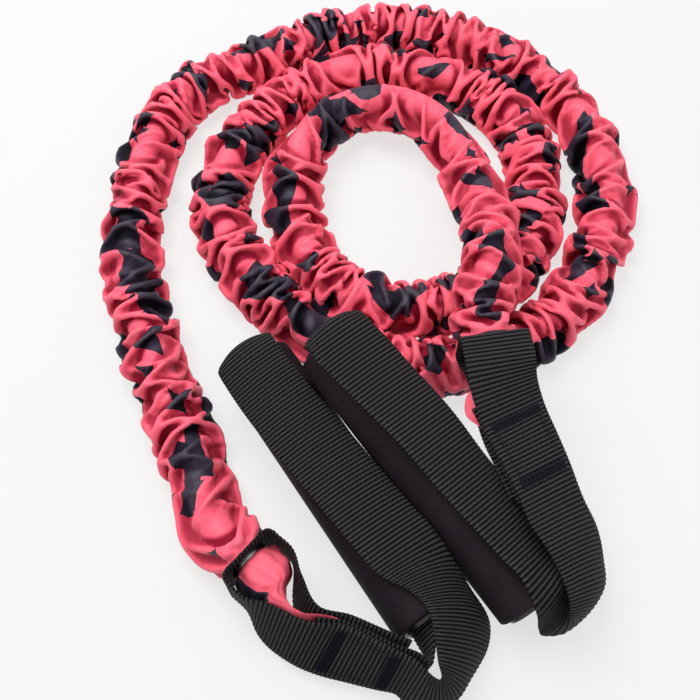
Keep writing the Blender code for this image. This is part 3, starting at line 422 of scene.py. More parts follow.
def strap_b():
    g, hand = grip_b, -1
    eye = vec(*EYE_B)
    inward = norm(g.way(0.869, -0.495, -0.02))
    width = norm(g.way(0.495, 0.869, 0))
    out = vec(0, 0, 1)
    joint = Junction(g.flat(-48.8, 31.9, 35.4), g.flat(-28.3, 25.4, 34.8), g.way(0.15, 0.975, -0.13),
                     g.way(0.12, 0.95, -0.28), g.way(0.26, 0.96, -0.06), hand)
    n0, n1, w_end = joint.n0, joint.n1, joint.w_end
    rows = [station(joint.after(2.2, LAYER_LOW), joint.w1, n1)] + joint.rows(LAYER_LOW)[::-1]
    rows.append(station(joint.before(9.0, LAYER_LOW + 1.6) + w_end * 2.6, w_end, n0))
    # The eye's low layer stands out to the right of its top layer
    skew = [3.4, 2.4, 1.6, 0.9, 0.4] + [0.0] * 8
    rows += [row + width * by for row, by in zip(eye_rows(eye, inward, width, out, 11.0 - STRAP_T / 2), skew)]
    rows += [station(joint.before(10.0, -2.7), w_end, n0)] + joint.rows(0)
    rows += g.drapes([
        (-17.3, 9.5, 37.4, -15.8, 21.8, 32.6, -14.3, 33.5, 26.4),
        (-8.0, 8.5, 36.0, -6.2, 21.2, 30.2, -4.5, 32.0, 21.0),
        (1.2, 6.8, 33.6, 3.2, 20.0, 25.4, 4.7, 28.6, 13.0),
        (7.6, 4.4, 31.6, 10.2, 16.6, 22.0, 11.4, 24.0, 7.2),
        (11.6, 1.6, 30.0, 13.8, 9.2, 17.4, 14.4, 12.8, 3.2),
        (11.0, 3.8, 26.6, 13.2, 3.8, 14.4, 13.8, 2.8, 2.4),
        (7.8, 9.2, 24.6, 10.6, 2.8, 16.0, 10.6, -3.4, 6.4),
        (3.2, 14.2, 24.0, 6.8, 5.2, 22.2, 8.2, -5.2, 13.0),
        (-2.3, 17.0, 23.4, 2.2, 7.0, 29.2, 4.6, -5.4, 24.6),
    ])
    rows += over_grip(g, hand, [
        (-9.5, 26.0, 0.8, 1 / 200),
        (-19.0, 25.0, 0.5, 1 / 80),
        (-32.0, 24.0, 0.2, 1 / 45),
        (-46.0, 21.0, 0.0, 1 / 40),
        (-68.0, 16.0, 0.2, 1 / 100),
        (-90.0, 9.0, 0.0, 1 / 50),
        (-103.0, 4.0, 0.0, 1 / 48),
    ])
    rows += top_fold(g, hand, 2.0)
    rows += through(g, hand, [(-100.0, 4.0), (-80.0, 20.0), (-60.0, 38.0), (-40.0, 56.0), (-20.0, 74.0),
                              (-6.0, 80.0), (PASS, 80.0)])
    rows.append(station(g.flat(4.2, 9.0, 12.4), g.way(0.1, 0, 1), g.way(0, 1, 0), 1 / 9.5))
    rows += g.drapes([
        (6.4, 9.6, 1.9, 8.2, 12.4, 11.0, 5.0, 9.6, 19.2),
        (6.8, 16.6, 1.6, 7.2, 18.4, 10.4, 3.8, 14.4, 18.4),
        (1.4, 21.2, 1.6, 0.8, 22.8, 10.6, -1.4, 18.0, 17.6),
        (-5.0, 24.6, 2.4, -5.6, 25.4, 12.6, -7.0, 20.4, 20.4),
        (-10.6, 28.4, 5.6, -11.4, 27.6, 16.4, -12.6, 20.8, 25.2),
        (-17.4, 33.0, 14.0, -18.0, 27.6, 23.0, -19.4, 19.2, 30.6),
    ])
    rows.append(station(joint.after(4.5, LAYER_P + 1.2), -g.way(0.12, 0.92, -0.36), n1))
    rows += joint.rows(LAYER_P, -1)[::-1]
    rows.append(station(joint.before(9.0, LAYER_P - 0.3), -w_end, n0))
    past = eye + inward * (FLARE_X + FLARE_L + 2.4)
    midway = past * 0.4 + joint.before(9.0, LAYER_TAIL) * 0.6 + out * 0.4 - width * 3.6
    return SimpleNamespace(rows=rows, eye=eye, inward=inward, width=width, out=out, joint=joint,
                           tail_way=[(midway, width + w_end, out + n0, 3.0)], tail_aside=5.2, tail_full=0.0)


SHIFT = vec(CENTRE_X, CENTRE_Y, 0)


# Meshes

def add_grid(name, rings, material, uv=None, skip=None, cap=False, smooth=None):
    """Object from closed rings of points, shape (rows, columns, 3). uv has one column more than the rings.
    skip marks the faces left out, cap closes both ends, and smooth is the angle of the edges that stay
    sharp."""
    rows, cols = rings.shape[:2]
    points = (rings.reshape(-1, 3) - SHIFT) / 1000
    i, j = np.meshgrid(np.arange(rows - 1), np.arange(cols), indexing="ij")
    k = (j + 1) % cols
    faces = np.stack([i * cols + j, i * cols + k, (i + 1) * cols + k, (i + 1) * cols + j], -1).reshape(-1, 4)
    corner = np.stack([np.stack([i + a, j + b], -1) for a, b in ((0, 0), (0, 1), (1, 1), (1, 0))], 2)
    corner = corner.reshape(-1, 4, 2)
    if skip is not None:
        keep = ~skip(rings.reshape(-1, 3)[faces].mean(1))
        faces, corner = faces[keep], corner[keep]
    mesh = bpy.data.meshes.new(name)
    mesh.vertices.add(len(points))
    mesh.vertices.foreach_set("co", points.astype(np.float32).ravel())
    extra = [np.arange(cols)[::-1], (rows - 1) * cols + np.arange(cols)] if cap else []
    loops = np.concatenate([faces.ravel()] + extra)
    mesh.loops.add(len(loops))
    mesh.loops.foreach_set("vertex_index", loops.astype(np.int32))
    mesh.polygons.add(len(faces) + len(extra))
    starts = list(range(0, len(faces) * 4, 4)) + [len(faces) * 4 + cols * n for n in range(len(extra))]
    mesh.polygons.foreach_set("loop_start", np.array(starts, np.int32))
    mesh.update(calc_edges=True)
    if uv is not None:
        layer = mesh.uv_layers.new(name="cloth")
        values = uv[corner[..., 0], corner[..., 1]].reshape(-1, 2)
        values = np.concatenate([values, np.zeros((cols * len(extra), 2))])
        layer.data.foreach_set("uv", values.astype(np.float32).ravel())
    mesh.validate()
    mesh.shade_smooth()
    if smooth:
        mesh.set_sharp_from_angle(angle=math.radians(smooth))
    return add_object(name, mesh, material)


def add_object(name, mesh, material):
    mesh.materials.append(material)
    obj = bpy.data.objects.new(name, mesh)
    bpy.context.scene.collection.objects.link(obj)
    return obj


def add_closing(obj):
    """Welds the last ring of a mesh to its first."""
    weld = obj.modifiers.new("close", "WELD")
    weld.merge_threshold = 0.000001
    return obj


def add_turned(name, profile, origin, axis, sides, material):
    """Solid turned about an axis. Its profile is a closed loop of (along, radius)."""
    axis = norm(axis)
    side = norm(np.cross(axis, vec(0, 0, 1)))
    up = np.cross(side, axis)
    out = spokes(full_turn(sides), up[None], side[None])[0]
    rings = np.array([origin + along * axis + radius * out for along, radius in profile + profile[:1]])
    round_at = np.arange(sides + 1) / sides * 2 * np.pi * max(r for _, r in profile)
    return add_closing(add_grid(name, rings, material, cloth_map(round_at, chords(rings[:, 0])), smooth=35))


def rounded(corners, radius, steps=4):
    """Closed profile with its corners rounded; a corner may give its own radius as a third number."""
    out = []
    count = len(corners)
    for i, corner in enumerate(corners):
        here = vec(*corner[:2])
        r = corner[2] if len(corner) > 2 else radius
        before, after = vec(*corners[i - 1][:2]), vec(*corners[(i + 1) % count][:2])
        if r <= 0:
            out.append(tuple(here))
            continue
        a, b = norm(before - here), norm(after - here)
        start, stop = here + a * r, here + b * r
        for t in np.linspace(0, 1, steps + 1):
            out.append(tuple(start * (1 - t) ** 2 + here * 2 * t * (1 - t) + stop * t ** 2))
    return out


def add_thread(name, lines, thick):
    """Threads along open lines of points, as one mesh."""
    curve = bpy.data.curves.new(name, "CURVE")
    curve.dimensions = "3D"
    curve.bevel_depth = thick / 2000
    curve.bevel_resolution = 1
    curve.use_fill_caps = True
    for line in lines:
        spline = curve.splines.new("POLY")
        spline.points.add(len(line) - 1)
        for point, at in zip(spline.points, (np.asarray(line) - SHIFT) / 1000):
            point.co = (*at, 1.0)
    holder = bpy.data.objects.new(name + "_line", curve)
    bpy.context.scene.collection.objects.link(holder)
    graph = bpy.context.evaluated_depsgraph_get()
    mesh = bpy.data.meshes.new_from_object(holder.evaluated_get(graph))
    bpy.data.objects.remove(holder, do_unlink=True)
    mesh.materials.clear()
    mesh.shade_smooth()
    return add_object(name, mesh, THREAD)


# Materials

class Nodes:
    """A tree of shader nodes, built step by step."""

    def __init__(self, tree):
        self.tree = tree

    def feed(self, socket, value):
        if isinstance(value, bpy.types.NodeSocket):
            self.tree.links.new(value, socket)
        else:
            socket.default_value = value

    def node(self, kind, inputs=None, **settings):
        """Outputs of a new node with these settings, and with its inputs linked or set."""
        made = self.tree.nodes.new("ShaderNode" + kind)
        for key, value in settings.items():
            setattr(made, key, value)
        for key, value in (inputs or {}).items():
            self.feed(made.inputs[key], value)
        return made.outputs

    def math(self, operation, *values):
        return self.node("Math", dict(enumerate(values)), operation=operation)[0]


class Paint(Nodes):
    """A material."""

    def __init__(self, name):
        self.material = bpy.data.materials.new(name)
        self.material.use_nodes = True
        super().__init__(self.material.node_tree)
        self.shader = self.tree.nodes["Principled BSDF"]

    def coordinates(self, name="UV"):
        return self.node("TexCoord")[name]

    def mapped(self, vector, scale, turn=0.0):
        turned = (0, 0, math.radians(turn))
        return self.node("Mapping", {"Vector": vector, "Scale": scale, "Rotation": turned})[0]

    def noise(self, vector, scale, detail=2.0, rough=0.5, out="Fac"):
        inputs = {"Vector": vector, "Scale": scale, "Detail": detail, "Roughness": rough}
        return self.node("TexNoise", inputs)[out]

    def parts(self, vector):
        return self.node("SeparateXYZ", {0: vector})

    def nudged(self, vector, by, share):
        """The vector plus a share of another."""
        moved = self.node("VectorMath", {0: by, "Scale": share}, operation="SCALE")[0]
        return self.node("VectorMath", {0: vector, 1: moved}, operation="ADD")[0]

    def mix(self, share, a, b):
        return self.node("Mix", {"Factor": share, "A": a, "B": b}, data_type="RGBA")["Result"]

    def ramp(self, value, low, high, first=0.0, last=1.0):
        """Smooth change from first to last while value goes from low to high."""
        ends = {"From Min": low, "From Max": high, "To Min": first, "To Max": last}
        return self.node("MapRange", {"Value": value, **ends}, interpolation_type="SMOOTHSTEP")["Result"]

    def bump(self, height, distance, strength=1.0, below=None):
        under = {} if below is None else {"Normal": below}
        return self.node("Bump", {"Height": height, "Distance": distance, "Strength": strength, **under})[0]

    def ridges(self, value, pitch, sharp=None):
        """Ridges of the given pitch in metres, from 0 in the valleys to 1 on the crests."""
        ridge = self.math("ABSOLUTE", self.math("SINE", self.math("MULTIPLY", value, math.pi / pitch)))
        return ridge if sharp is None else self.math("POWER", ridge, sharp)

    def finish(self, colour, roughness, normal=None, **fixed):
        self.feed(self.shader.inputs["Base Color"], colour)
        self.feed(self.shader.inputs["Roughness"], roughness)
        if normal is not None:
            self.feed(self.shader.inputs["Normal"], normal)
        for name, value in fixed.items():
            self.feed(self.shader.inputs[name.replace("_", " ")], value)
        return self.material


# The cloth's colours: coral in two tones that vary at random, the navy of its print, and the painted shade
# that darkens each of them deep in its folds
CORAL = (0.90, 0.130, 0.200, 1)
CORAL_DEEP = (0.84, 0.084, 0.140, 1)
CREASE_SHADE = (0.22, 0.0025, 0.018, 1)
NAVY = (0.019, 0.013, 0.029, 1)
NAVY_SHADE = (0.0015, 0.0008, 0.0020, 1)


def fabric_material(name, printed=True):
    """Coral satin with a scatter of dark pointed splashes, and painted shade deep in its folds, in the
    cloth's own coordinates.
    """
    paint = Paint(name)
    uv = paint.coordinates()
    u, v, _ = paint.parts(uv)
    wander = paint.noise(uv, 34.0, 1.0, 0.4, "Color")
    bent = paint.nudged(uv, wander, 0.012)

    def cells(size, turn, stretch, inputs, **settings):
        """Chance, from 0 to 1, and distance of the nearest of some scattered points."""
        inputs = {"Vector": paint.mapped(bent, (1.0, stretch, 1.0), turn), "Scale": 1 / size, **inputs}
        found = paint.node("TexVoronoi", inputs, voronoi_dimensions="2D", **settings)
        return paint.parts(found["Color"])[0], found["Distance"]

    def shards(size, turn, stretch, cover):
        """Angular patches: a share of the cells round scattered points."""
        return paint.math("LESS_THAN", cells(size, turn, stretch, {})[0], cover)

    def stars(size, turn, stretch, reach, spread):
        """Pointed blots: where a star-shaped distance to a scatter of points is small."""
        chance, far = cells(size, turn, stretch, {"Exponent": 0.62}, distance="MINKOWSKI")
        return paint.math("GREATER_THAN", paint.math("MULTIPLY_ADD", chance, spread, reach), far)

    patches = paint.math("MAXIMUM", shards(0.0125, 14.0, 0.58, 0.08), shards(0.0165, -66.0, 0.52, 0.06))
    patches = paint.math("MAXIMUM", patches, shards(0.0085, 52.0, 0.65, 0.07))
    dark = paint.math("MAXIMUM", patches, stars(0.022, -18.0, 0.75, -0.06, 0.42))
    if not printed:
        # The tail's cloth: one dark flank by the plugged end
        flank = paint.math("MULTIPLY_ADD", v, 0.28, 0.0270)
        near = paint.math("MULTIPLY", paint.math("LESS_THAN", u, flank), paint.math("GREATER_THAN", u, 0.006))
        dark = paint.math("MULTIPLY", near, paint.math("LESS_THAN", v, 0.0175))
    shade = paint.noise(uv, 90.0, 3.0)
    red = paint.mix(shade, CORAL_DEEP, CORAL)
    # Painted shade: deep in the folds the coral darkens to a dark crimson and the navy to near black
    fold = paint.node("Attribute", attribute_name="fold")["Fac"]
    fold_shade = paint.ramp(fold, 0.32, 0.92, 0.0, 0.96)
    colour = paint.mix(dark, paint.mix(fold_shade, red, CREASE_SHADE), paint.mix(fold_shade, NAVY, NAVY_SHADE))
    twill = paint.ridges(paint.math("ADD", u, paint.math("MULTIPLY", v, 0.6)), 0.00080, 0.7)
    cross = paint.ridges(v, 0.00050, 0.7)
    weave = paint.math("MULTIPLY_ADD", twill, 0.6, paint.math("MULTIPLY", cross, 0.4))
    crease = paint.noise(uv, 300.0, 3.0, 0.6)
    normal = paint.bump(crease, 0.00034, 0.6, paint.bump(weave, 0.00012, 1.0))
    rough = paint.math("MULTIPLY_ADD", weave, -0.12, 0.54)
    # Less shine deep in the folds, to go with the painted shade there
    shine = paint.ramp(fold, 0.0, 0.6, 0.42, 0.06)
    return paint.finish(colour, rough, normal, Specular_IOR_Level=shine, Sheen_Weight=0.05,
                        Sheen_Roughness=0.35)


# From one rib of the webbing to the next
RIB = 1.52


def webbing_material():
    """Black webbing: the ribs are in the mesh, the yarns across them are here, and the colour holds painted
    highlights on the crests and painted shade in the grooves.
    """
    paint = Paint("webbing yarn")
    uv = paint.coordinates()
    u, v, _ = paint.parts(uv)
    rib = paint.ridges(v, RIB / 1000, 2.2)
    half = paint.math("MULTIPLY", paint.math("ROUND", paint.math("DIVIDE", v, RIB / 1000)), 0.00045)
    yarn = paint.ridges(paint.math("ADD", u, half), 0.0009, 0.6)
    strand = paint.ridges(paint.math("ADD", u, paint.math("MULTIPLY", v, 0.5)), 0.00025)
    height = paint.math("MULTIPLY_ADD", yarn, 0.7, paint.math("MULTIPLY", strand, 0.3))
    fuzz = paint.noise(uv, 2600.0, 3.0, 0.7)
    # Painted light: lighter on the crests of the ribs and yarns, near black in the grooves, with a random
    # fuzz in tone
    rib_light_and_fuzz = paint.math("MULTIPLY", paint.math("MULTIPLY", rib, yarn), paint.ramp(fuzz, 0.3, 0.75, 0.5, 1.0))
    colour = paint.mix(rib_light_and_fuzz, (0.0004, 0.0003, 0.0006, 1), (0.090, 0.082, 0.088, 1))
    patch = paint.noise(uv, 60.0, 2.0)
    rough = paint.math("MULTIPLY_ADD", patch, 0.15, 0.52)
    normal = paint.bump(fuzz, 0.00010, 0.5, paint.bump(height, 0.00022, 1.0))
    return paint.finish(colour, rough, normal, Specular_IOR_Level=0.05)


def foam_material():
    """Closed-cell foam: dull, with a fine skin of pores and faint rub marks."""
    paint = Paint("foam skin")
    where = paint.coordinates("Object")
    pores = paint.noise(where, 2200.0, 4.0, 0.75)
    cell = paint.node("TexVoronoi", {"Vector": where, "Scale": 1500.0})
    rub = paint.noise(where, 38.0, 4.0, 0.6)
    colour = paint.mix(paint.ramp(rub, 0.35, 0.7), (0.007, 0.004, 0.007, 1), (0.014, 0.009, 0.013, 1))
    speck = paint.ramp(pores, 0.62, 0.78)
    colour = paint.mix(speck, colour, (0.036, 0.031, 0.034, 1))
    rough = paint.math("MULTIPLY_ADD", rub, 0.12, 0.66)
    skin = paint.math("MULTIPLY_ADD", cell["Distance"], 0.5, paint.math("MULTIPLY", pores, 0.5))
    normal = paint.bump(rub, 0.0006, 0.5, paint.bump(skin, 0.00016, 0.8))
    return paint.finish(colour, rough, normal, Specular_IOR_Level=0.16)


def plain_material(name, scale, dark, light, rough, height, strength=0.4, detail=3.0, grain=0.5, stretch=1,
                   **fixed):
    """A material whose colour, roughness and fine bumps come from one noise."""
    paint = Paint(name)
    where = paint.mapped(paint.coordinates("Object"), (1, 1, stretch))
    noise = paint.noise(where, scale, detail, grain)
    colour = paint.mix(noise, (*dark, 1), (*light, 1))
    rough = paint.ramp(noise, 0.3, 0.7, *rough)
    return paint.finish(colour, rough, paint.bump(noise, height, strength), **fixed)


FABRIC = fabric_material("printed coral satin")
TAIL_CLOTH = fabric_material("coral satin of the tails", False)
WEBBING = webbing_material()
FOAM = foam_material()
THREAD = plain_material("bartack thread", 1800.0, (0.002, 0.002, 0.005), (0.012, 0.012, 0.023), (0.55, 0.55),
                        0.00008, 0.8, grain=0.7, Specular_IOR_Level=0.12)
CORE = plain_material("core plastic", 700.0, (0.012, 0.010, 0.011), (0.022, 0.019, 0.020), (0.20, 0.32),
                      0.00004, Specular_IOR_Level=0.5)
METAL = plain_material("eyelet steel", 900.0, (0.20, 0.195, 0.20), (0.34, 0.33, 0.34), (0.18, 0.34), 0.00002,
                       stretch=9, Metallic=1.0)
LATEX = plain_material("dark latex", 160.0, (0.014, 0.013, 0.016), (0.028, 0.026, 0.030), (0.38, 0.55),
                       0.0001, 0.3, 4.0, 0.6)
PLUG = plain_material("plug plastic", 160.0, (0.03, 0.03, 0.03), (0.05, 0.05, 0.05), (0.4, 0.5), 0.0001, 0.3,
                      4.0, 0.6)


# Webbing

# Rows of the mesh to a rib, and points across the band
ROWS_TO_A_RIB = 6
ACROSS_STEPS = 17
# Half the webbing's thickness between its ribs, what a rib adds to it, and how wide its thinner edge is
HALF_THICK = 0.40
RIB_HIGH = 0.30
EDGE_ROUND = 1.1


def smooth_band(rows):
    """The band through the stations, in even steps of a rib's share, with more points across."""
    rows = np.asarray(rows, float)
    knots = np.concatenate([[0.0], np.cumsum(np.sqrt((np.diff(rows, axis=0) ** 2).sum(axis=2).mean(axis=1)))])
    steps = int(knots[-1] / (RIB / ROWS_TO_A_RIB))
    band = local_spline(knots, rows, np.linspace(0, knots[-1], steps + 1))
    across = np.linspace(0, 6, ACROSS_STEPS)
    return np.moveaxis(natural_spline(np.arange(7.0), np.moveaxis(band, 1, 0), across), 0, 1)


def add_webbing(name, handle):
    band = smooth_band(handle.rows)
    along = chords(band[:, ACROSS_STEPS // 2])
    normals = band_normals(band)
    share = np.linspace(-0.5, 0.5, ACROSS_STEPS)
    rib = np.abs(np.sin(np.pi * along / RIB)) ** 1.3
    # The selvedge is thinner and follows the ribs in small waves
    from_edge = (0.5 - np.abs(share)) * STRAP_W
    body = np.clip(from_edge / EDGE_ROUND, 0, 1) ** 0.5
    thick = (HALF_THICK + RIB_HIGH * rib[:, None]) * (0.42 + 0.58 * body[None, :])
    sideways = norm(np.gradient(band, axis=1))
    wavy = 0.14 * (rib[:, None] - 0.5) * np.sign(share)[None, :] * (from_edge < 0.8)[None, :]
    band = band + sideways * wavy[..., None]
    thick = normals * thick[..., None]
    rings = np.concatenate([band + thick, (band - thick)[:, ::-1]], axis=1)
    uv = cloth_map(np.concatenate([share, share[::-1], share[:1]]) * STRAP_W, along)

    def at_eyelet(middle):
        rel = middle - handle.eye
        deep = rel @ handle.inward
        far = np.linalg.norm(rel - deep[:, None] * handle.inward, axis=1)
        return (np.abs(deep) < 2.5) & (far < EYELET_HOLE / 2 + EYELET_WALL + GAP)

    rings, uv = outward_first(rings, uv, normals[0, 0])
    return add_grid(name, rings, WEBBING, uv, skip=at_eyelet, cap=True, smooth=75)


def add_bartack(name, at, run, w, n, level, turns=46):
    """Satin zigzag of thread across the band, over a few threads that run straight across."""
    reach = STRAP_W / 2 - BARTACK_MARGIN
    zigzag = []
    for k in range(turns + 1):
        aside = -reach + 2 * reach * k / turns
        ahead = BARTACK_REACH * (1 if k % 2 else -1) * (0.93 + 0.07 * math.sin(k * 2.3))
        lift = 0.06 * math.sin(k * 1.7)
        zigzag.append(at + run * ahead + w * aside + n * (level + lift))
    under = [[at + run * ahead + w * aside + n * (level - 0.1) for aside in (-reach, reach)]
             for ahead in (-1.4, -0.7, 0.0, 0.7, 1.4)]
    return add_thread(name, [zigzag] + under, 0.46)


def add_stitches(name, start, stop, aside, w_pair, n_pair, level, pitch=2.6):
    """Line of lockstitches from start to stop, each of them dipping into the webbing at its ends."""
    count = max(3, int(np.linalg.norm(stop - start) / pitch))
    lines = []
    for k in range(count):
        line = []
        for t in np.linspace(0.08, 0.92, 5):
            share = (k + t) / count
            w, n = (norm(pair[0] * (1 - share) + pair[1] * share) for pair in (w_pair, n_pair))
            dip = 0.28 * (abs(t - 0.5) * 2) ** 2
            line.append(start * (1 - share) + stop * share + w * aside + n * (level - dip))
        lines.append(line)
    return add_thread(name, lines, 0.36)


# Handles

# Along an eyelet's axis from the middle of the webbing: its flange and washer, then the tube's flared end
EYE_GAP = STRAP_T / 2 + GAP + 0.1
FLARE_X = EYE_GAP + WASHER_T + GAP


def ride(piece, body, node):
    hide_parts(node)
    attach(piece, body)


def add_grip(letter, grip):
    """Core with rounded lips, and the foam over it with soft edges."""
    ends = (-FOAM_L - CORE_OUT, CORE_OUT)
    radii = (CORE_BORE / 2, CORE_D / 2)
    core = rounded([(a, radii[0]) for a in ends] + [(a, radii[1]) for a in ends[::-1]], 0.55)
    ride(add_turned("grip_pipe_" + letter, core, grip.low, grip.axis, 72, CORE), "grip_" + letter,
         "grip_core_" + letter)
    bore, r = CORE_D / 2 + 0.05, FOAM_D / 2
    skin = [(-FOAM_L * k / 24, r, 0) for k in range(1, 24)]
    corners = [(-FOAM_L, bore), (0.0, bore), (0.0, r, 1.3)] + skin + [(-FOAM_L, r, 1.3)]
    foam = add_turned("foam_sleeve_" + letter, rounded(corners, 0.3), grip.low, grip.axis, 96, FOAM)
    ride(foam, "grip_" + letter, "foam_grip_" + letter)


def add_eyelet_and_plug(letter, eye, inward):
    """Barrel with its flange, the washer clenched on it and the plug in the tube's flared end."""
    hole, flange, washer = EYELET_HOLE / 2, FLANGE_D / 2, WASHER_D / 2
    outer, face = hole + EYELET_WALL, EYE_GAP + WASHER_T
    bore = outer + 0.12
    barrel = [(-EYE_GAP - FLANGE_T, hole, 0.55), (face + 0.1, hole), (face + 0.1, outer),
              (-EYE_GAP, outer, 0.1), (-EYE_GAP, flange), (-EYE_GAP - FLANGE_T * 0.8, flange, 0.35)]
    clenched = [(EYE_GAP, bore, 0.3), (face, bore, 0.3), (face, washer, 0.3), (EYE_GAP, washer, 0.3)]
    end = FLARE_X + FLARE_L
    start, back = end - PLUG_L, end + GAP
    head, shank = FLARE_D / 2 - 1.4, FLARE_BORE / 2 - GAP
    plug = [(start, 0.9), (back + 1.6, 0.9, 0.3), (back + 1.6, head, 0.7), (back, head, 0.3),
            (back, shank, 0.1), (start, shank, 0.6)]
    for name, profile, sides, material, slot, node in (
            ("eyelet_barrel_", barrel, 64, METAL, "eyelet_steel", "eyelet_"),
            ("clenched_washer_", clenched, 64, METAL, "eyelet_steel", "eyelet_washer_"),
            ("plug_", plug, 48, PLUG, "plug_plastic", "tube_plug_")):
        piece = add_turned(name + letter, rounded(profile, 0.2), eye, inward, sides, material)
        ride(piece, "handle_" + letter, node + letter)


def outward_first(rings, uv, out):
    """The rings with their columns turned round, where their faces would look in. out points away from the
    middle at the first point."""
    if np.dot(np.cross(rings[1, 0] - rings[0, 0], rings[0, 1] - rings[0, 0]), out) > 0:
        return rings[:, ::-1], uv[:, ::-1]
    return rings, uv


def add_tail(letter, handle):
    """The sleeve's end inside the eye: a sock over the plugged tube that flattens and runs into the
    junction."""
    joint, run, n0, across = handle.joint, handle.joint.run, handle.joint.n0, TAIL_W / 2
    t0, t1 = joint.before(0, LAYER_TAIL), joint.after(0, LAYER_TAIL)
    aside = -norm(joint.w0) * handle.tail_aside
    sock, full = FLARE_D / 2 + 0.75, handle.tail_full
    # Round the tube: distance from the eye, half the width across the eye, and half the height
    stations = [(handle.eye + handle.inward * x, handle.width, handle.out, half, high) for x, half, high in (
        (FLARE_X - 0.1, 6.9, 6.9),
        (FLARE_X + 0.7, sock - 0.2, sock - 0.2 + full * 0.6),
        (FLARE_X + 3.0, sock + 0.1, sock + 0.1 + full),
        (FLARE_X + 7.0, sock + 0.2, sock + full),
        (FLARE_X + FLARE_L, sock + 0.4, sock - 0.2 + full * 0.8),
        (FLARE_X + FLARE_L + 2.2, sock + 0.5, sock - 1.4 + full * 0.6))]
    stations += [(point, w, n, across, half) for point, w, n, half in handle.tail_way]
    stations += [
        (t0 - run * 8.0 + n0 * 0.2 + aside, joint.w_end, n0, across, 0.8),
        (t0 - run * 4.0 + aside * 0.55, joint.w0, n0, across, 0.62),
        (t0 + aside * 0.2, joint.w0, n0, across, 0.5),
        (t0 * 0.5 + t1 * 0.5, joint.w0 + joint.w1, n0 + joint.n1, across, 0.5),
    ]
    middle, wide, face, half, high = (np.array(column, float) for column in zip(*stations))
    wide = norm(wide)
    face = norm(face - wide * (face * wide).sum(1, keepdims=True))
    knots = chords(middle)
    at = np.linspace(0, knots[-1], 90)
    middle, wide, face, half, high = (local_spline(knots, v, at)
                                      for v in (middle, wide, face, half[:, None], high[:, None]))
    wide, face = norm(wide), norm(face)
    # Pleats and soft wrinkles where the cloth is round
    angle, along = full_turn(72), at[:, None]
    pleat = 1 + np.clip(high / 6.0, 0, 1) * (
        0.030 * np.sin(7 * angle + 0.22 * along + 1.5 * np.sin(along * 0.16))
        + 0.022 * np.sin(13 * angle - 0.3 * along) + 0.02 * np.sin(4 * angle + 0.5 * along))
    x = np.cos(angle) * half * pleat
    y = np.sin(angle) * high * pleat
    y += 0.35 * np.sin(along * 0.9) * np.sin(angle * 2 + along * 0.2) * np.clip(high / 3, 0, 1)
    rings = middle[:, None] + x[..., None] * wide[:, None] + y[..., None] * face[:, None]
    uv = cloth_map(np.arange(73) / 72 * CLOTH_ROUND, at)
    rings, uv = outward_first(rings, uv, rings[0, 0] - middle[0])
    ride(add_grid("fabric_end_" + letter, rings, TAIL_CLOTH, uv), "handle_" + letter,
         "sleeve_tail_" + letter)


def add_handle(letter, grip, handle):
    body = "handle_" + letter
    ride(add_webbing("webbing_" + letter, handle), body, "strap_" + letter)
    add_eyelet_and_plug(letter, handle.eye, handle.inward)
    joint = handle.joint
    w0, w1 = norm(joint.w0), norm(joint.w1)
    front = HALF_THICK + RIB_HIGH + 0.12
    for name, at, w, n in (("inner", joint.j0, w0, joint.n0), ("outer", joint.j1, w1, joint.n1)):
        for face, level in (("front", front), ("back", -LAYER_LOW - front)):
            node = "bartack_%s_%s_%s" % (name, face, letter)
            ride(add_bartack("thread_" + node, at, joint.run, w, n, level), body, node)
    inset = joint.run * (BARTACK_REACH + GAP)
    for side, share in (("left", -0.36), ("right", 0.36)):
        node = "box_stitch_%s_%s" % (side, letter)
        ride(add_stitches("thread_" + node, joint.j0 + inset, joint.j1 - inset, share * STRAP_W, (w0, w1),
                          (joint.n0, joint.n1), front), body, node)
    add_tail(letter, handle)
    add_grip(letter, grip)


# Middle line of the tube

# How far the tube runs straight out of each eye
STRAIGHT = 12.0


def middle_line():
    a, b = handles["a"], handles["b"]
    start = [a.eye - a.inward * x for x in (STRAIGHT - 8, STRAIGHT - 4, STRAIGHT)]
    stop = [b.eye - b.inward * x for x in (STRAIGHT, STRAIGHT - 4, STRAIGHT - 8)]
    route = np.array(start + route_points + stop)
    knots = chords(route)
    free = natural_spline(knots, route, np.linspace(knots[2], knots[-3], 4000))
    inner_end = FLARE_X + FLARE_L
    first = a.eye + a.inward * np.linspace(inner_end, -STRAIGHT, 60)[:, None]
    last = b.eye + b.inward * np.linspace(-STRAIGHT, inner_end, 60)[:, None]
    return np.concatenate([first[:-1], free, last[1:]])


# Sleeve: a wider, longer tube of cloth gathered over the tube and settled as cloth

# Points round the cloth, its length around, and the spacing of its columns and rows, which come in fours
AROUND = 40
CLOTH_ROUND = 74.0
COLUMN = CLOTH_ROUND / AROUND
ROW = 1.5
# How near two layers of cloth may come, and how firmly it keeps its lengths, its corners and its straightness
THICK = 1.3
HOLD = 0.9
SHEAR_HOLD = 0.35
STIFF = 0.30
# The cloth stays above this height, and between these distances from the tube's middle line
LOWEST = 0.25
BARE_R = TUBE_D / 2
LONGEST_REACH = 14.0
# Spacing of the points that the middle line is read at
PITCH = 0.25
# Rounds of settling, what is left of a point's drift from one round to the next, and how far it sinks in one
STEPS = 200
DRIFT = 0.82
SINK = 0.012
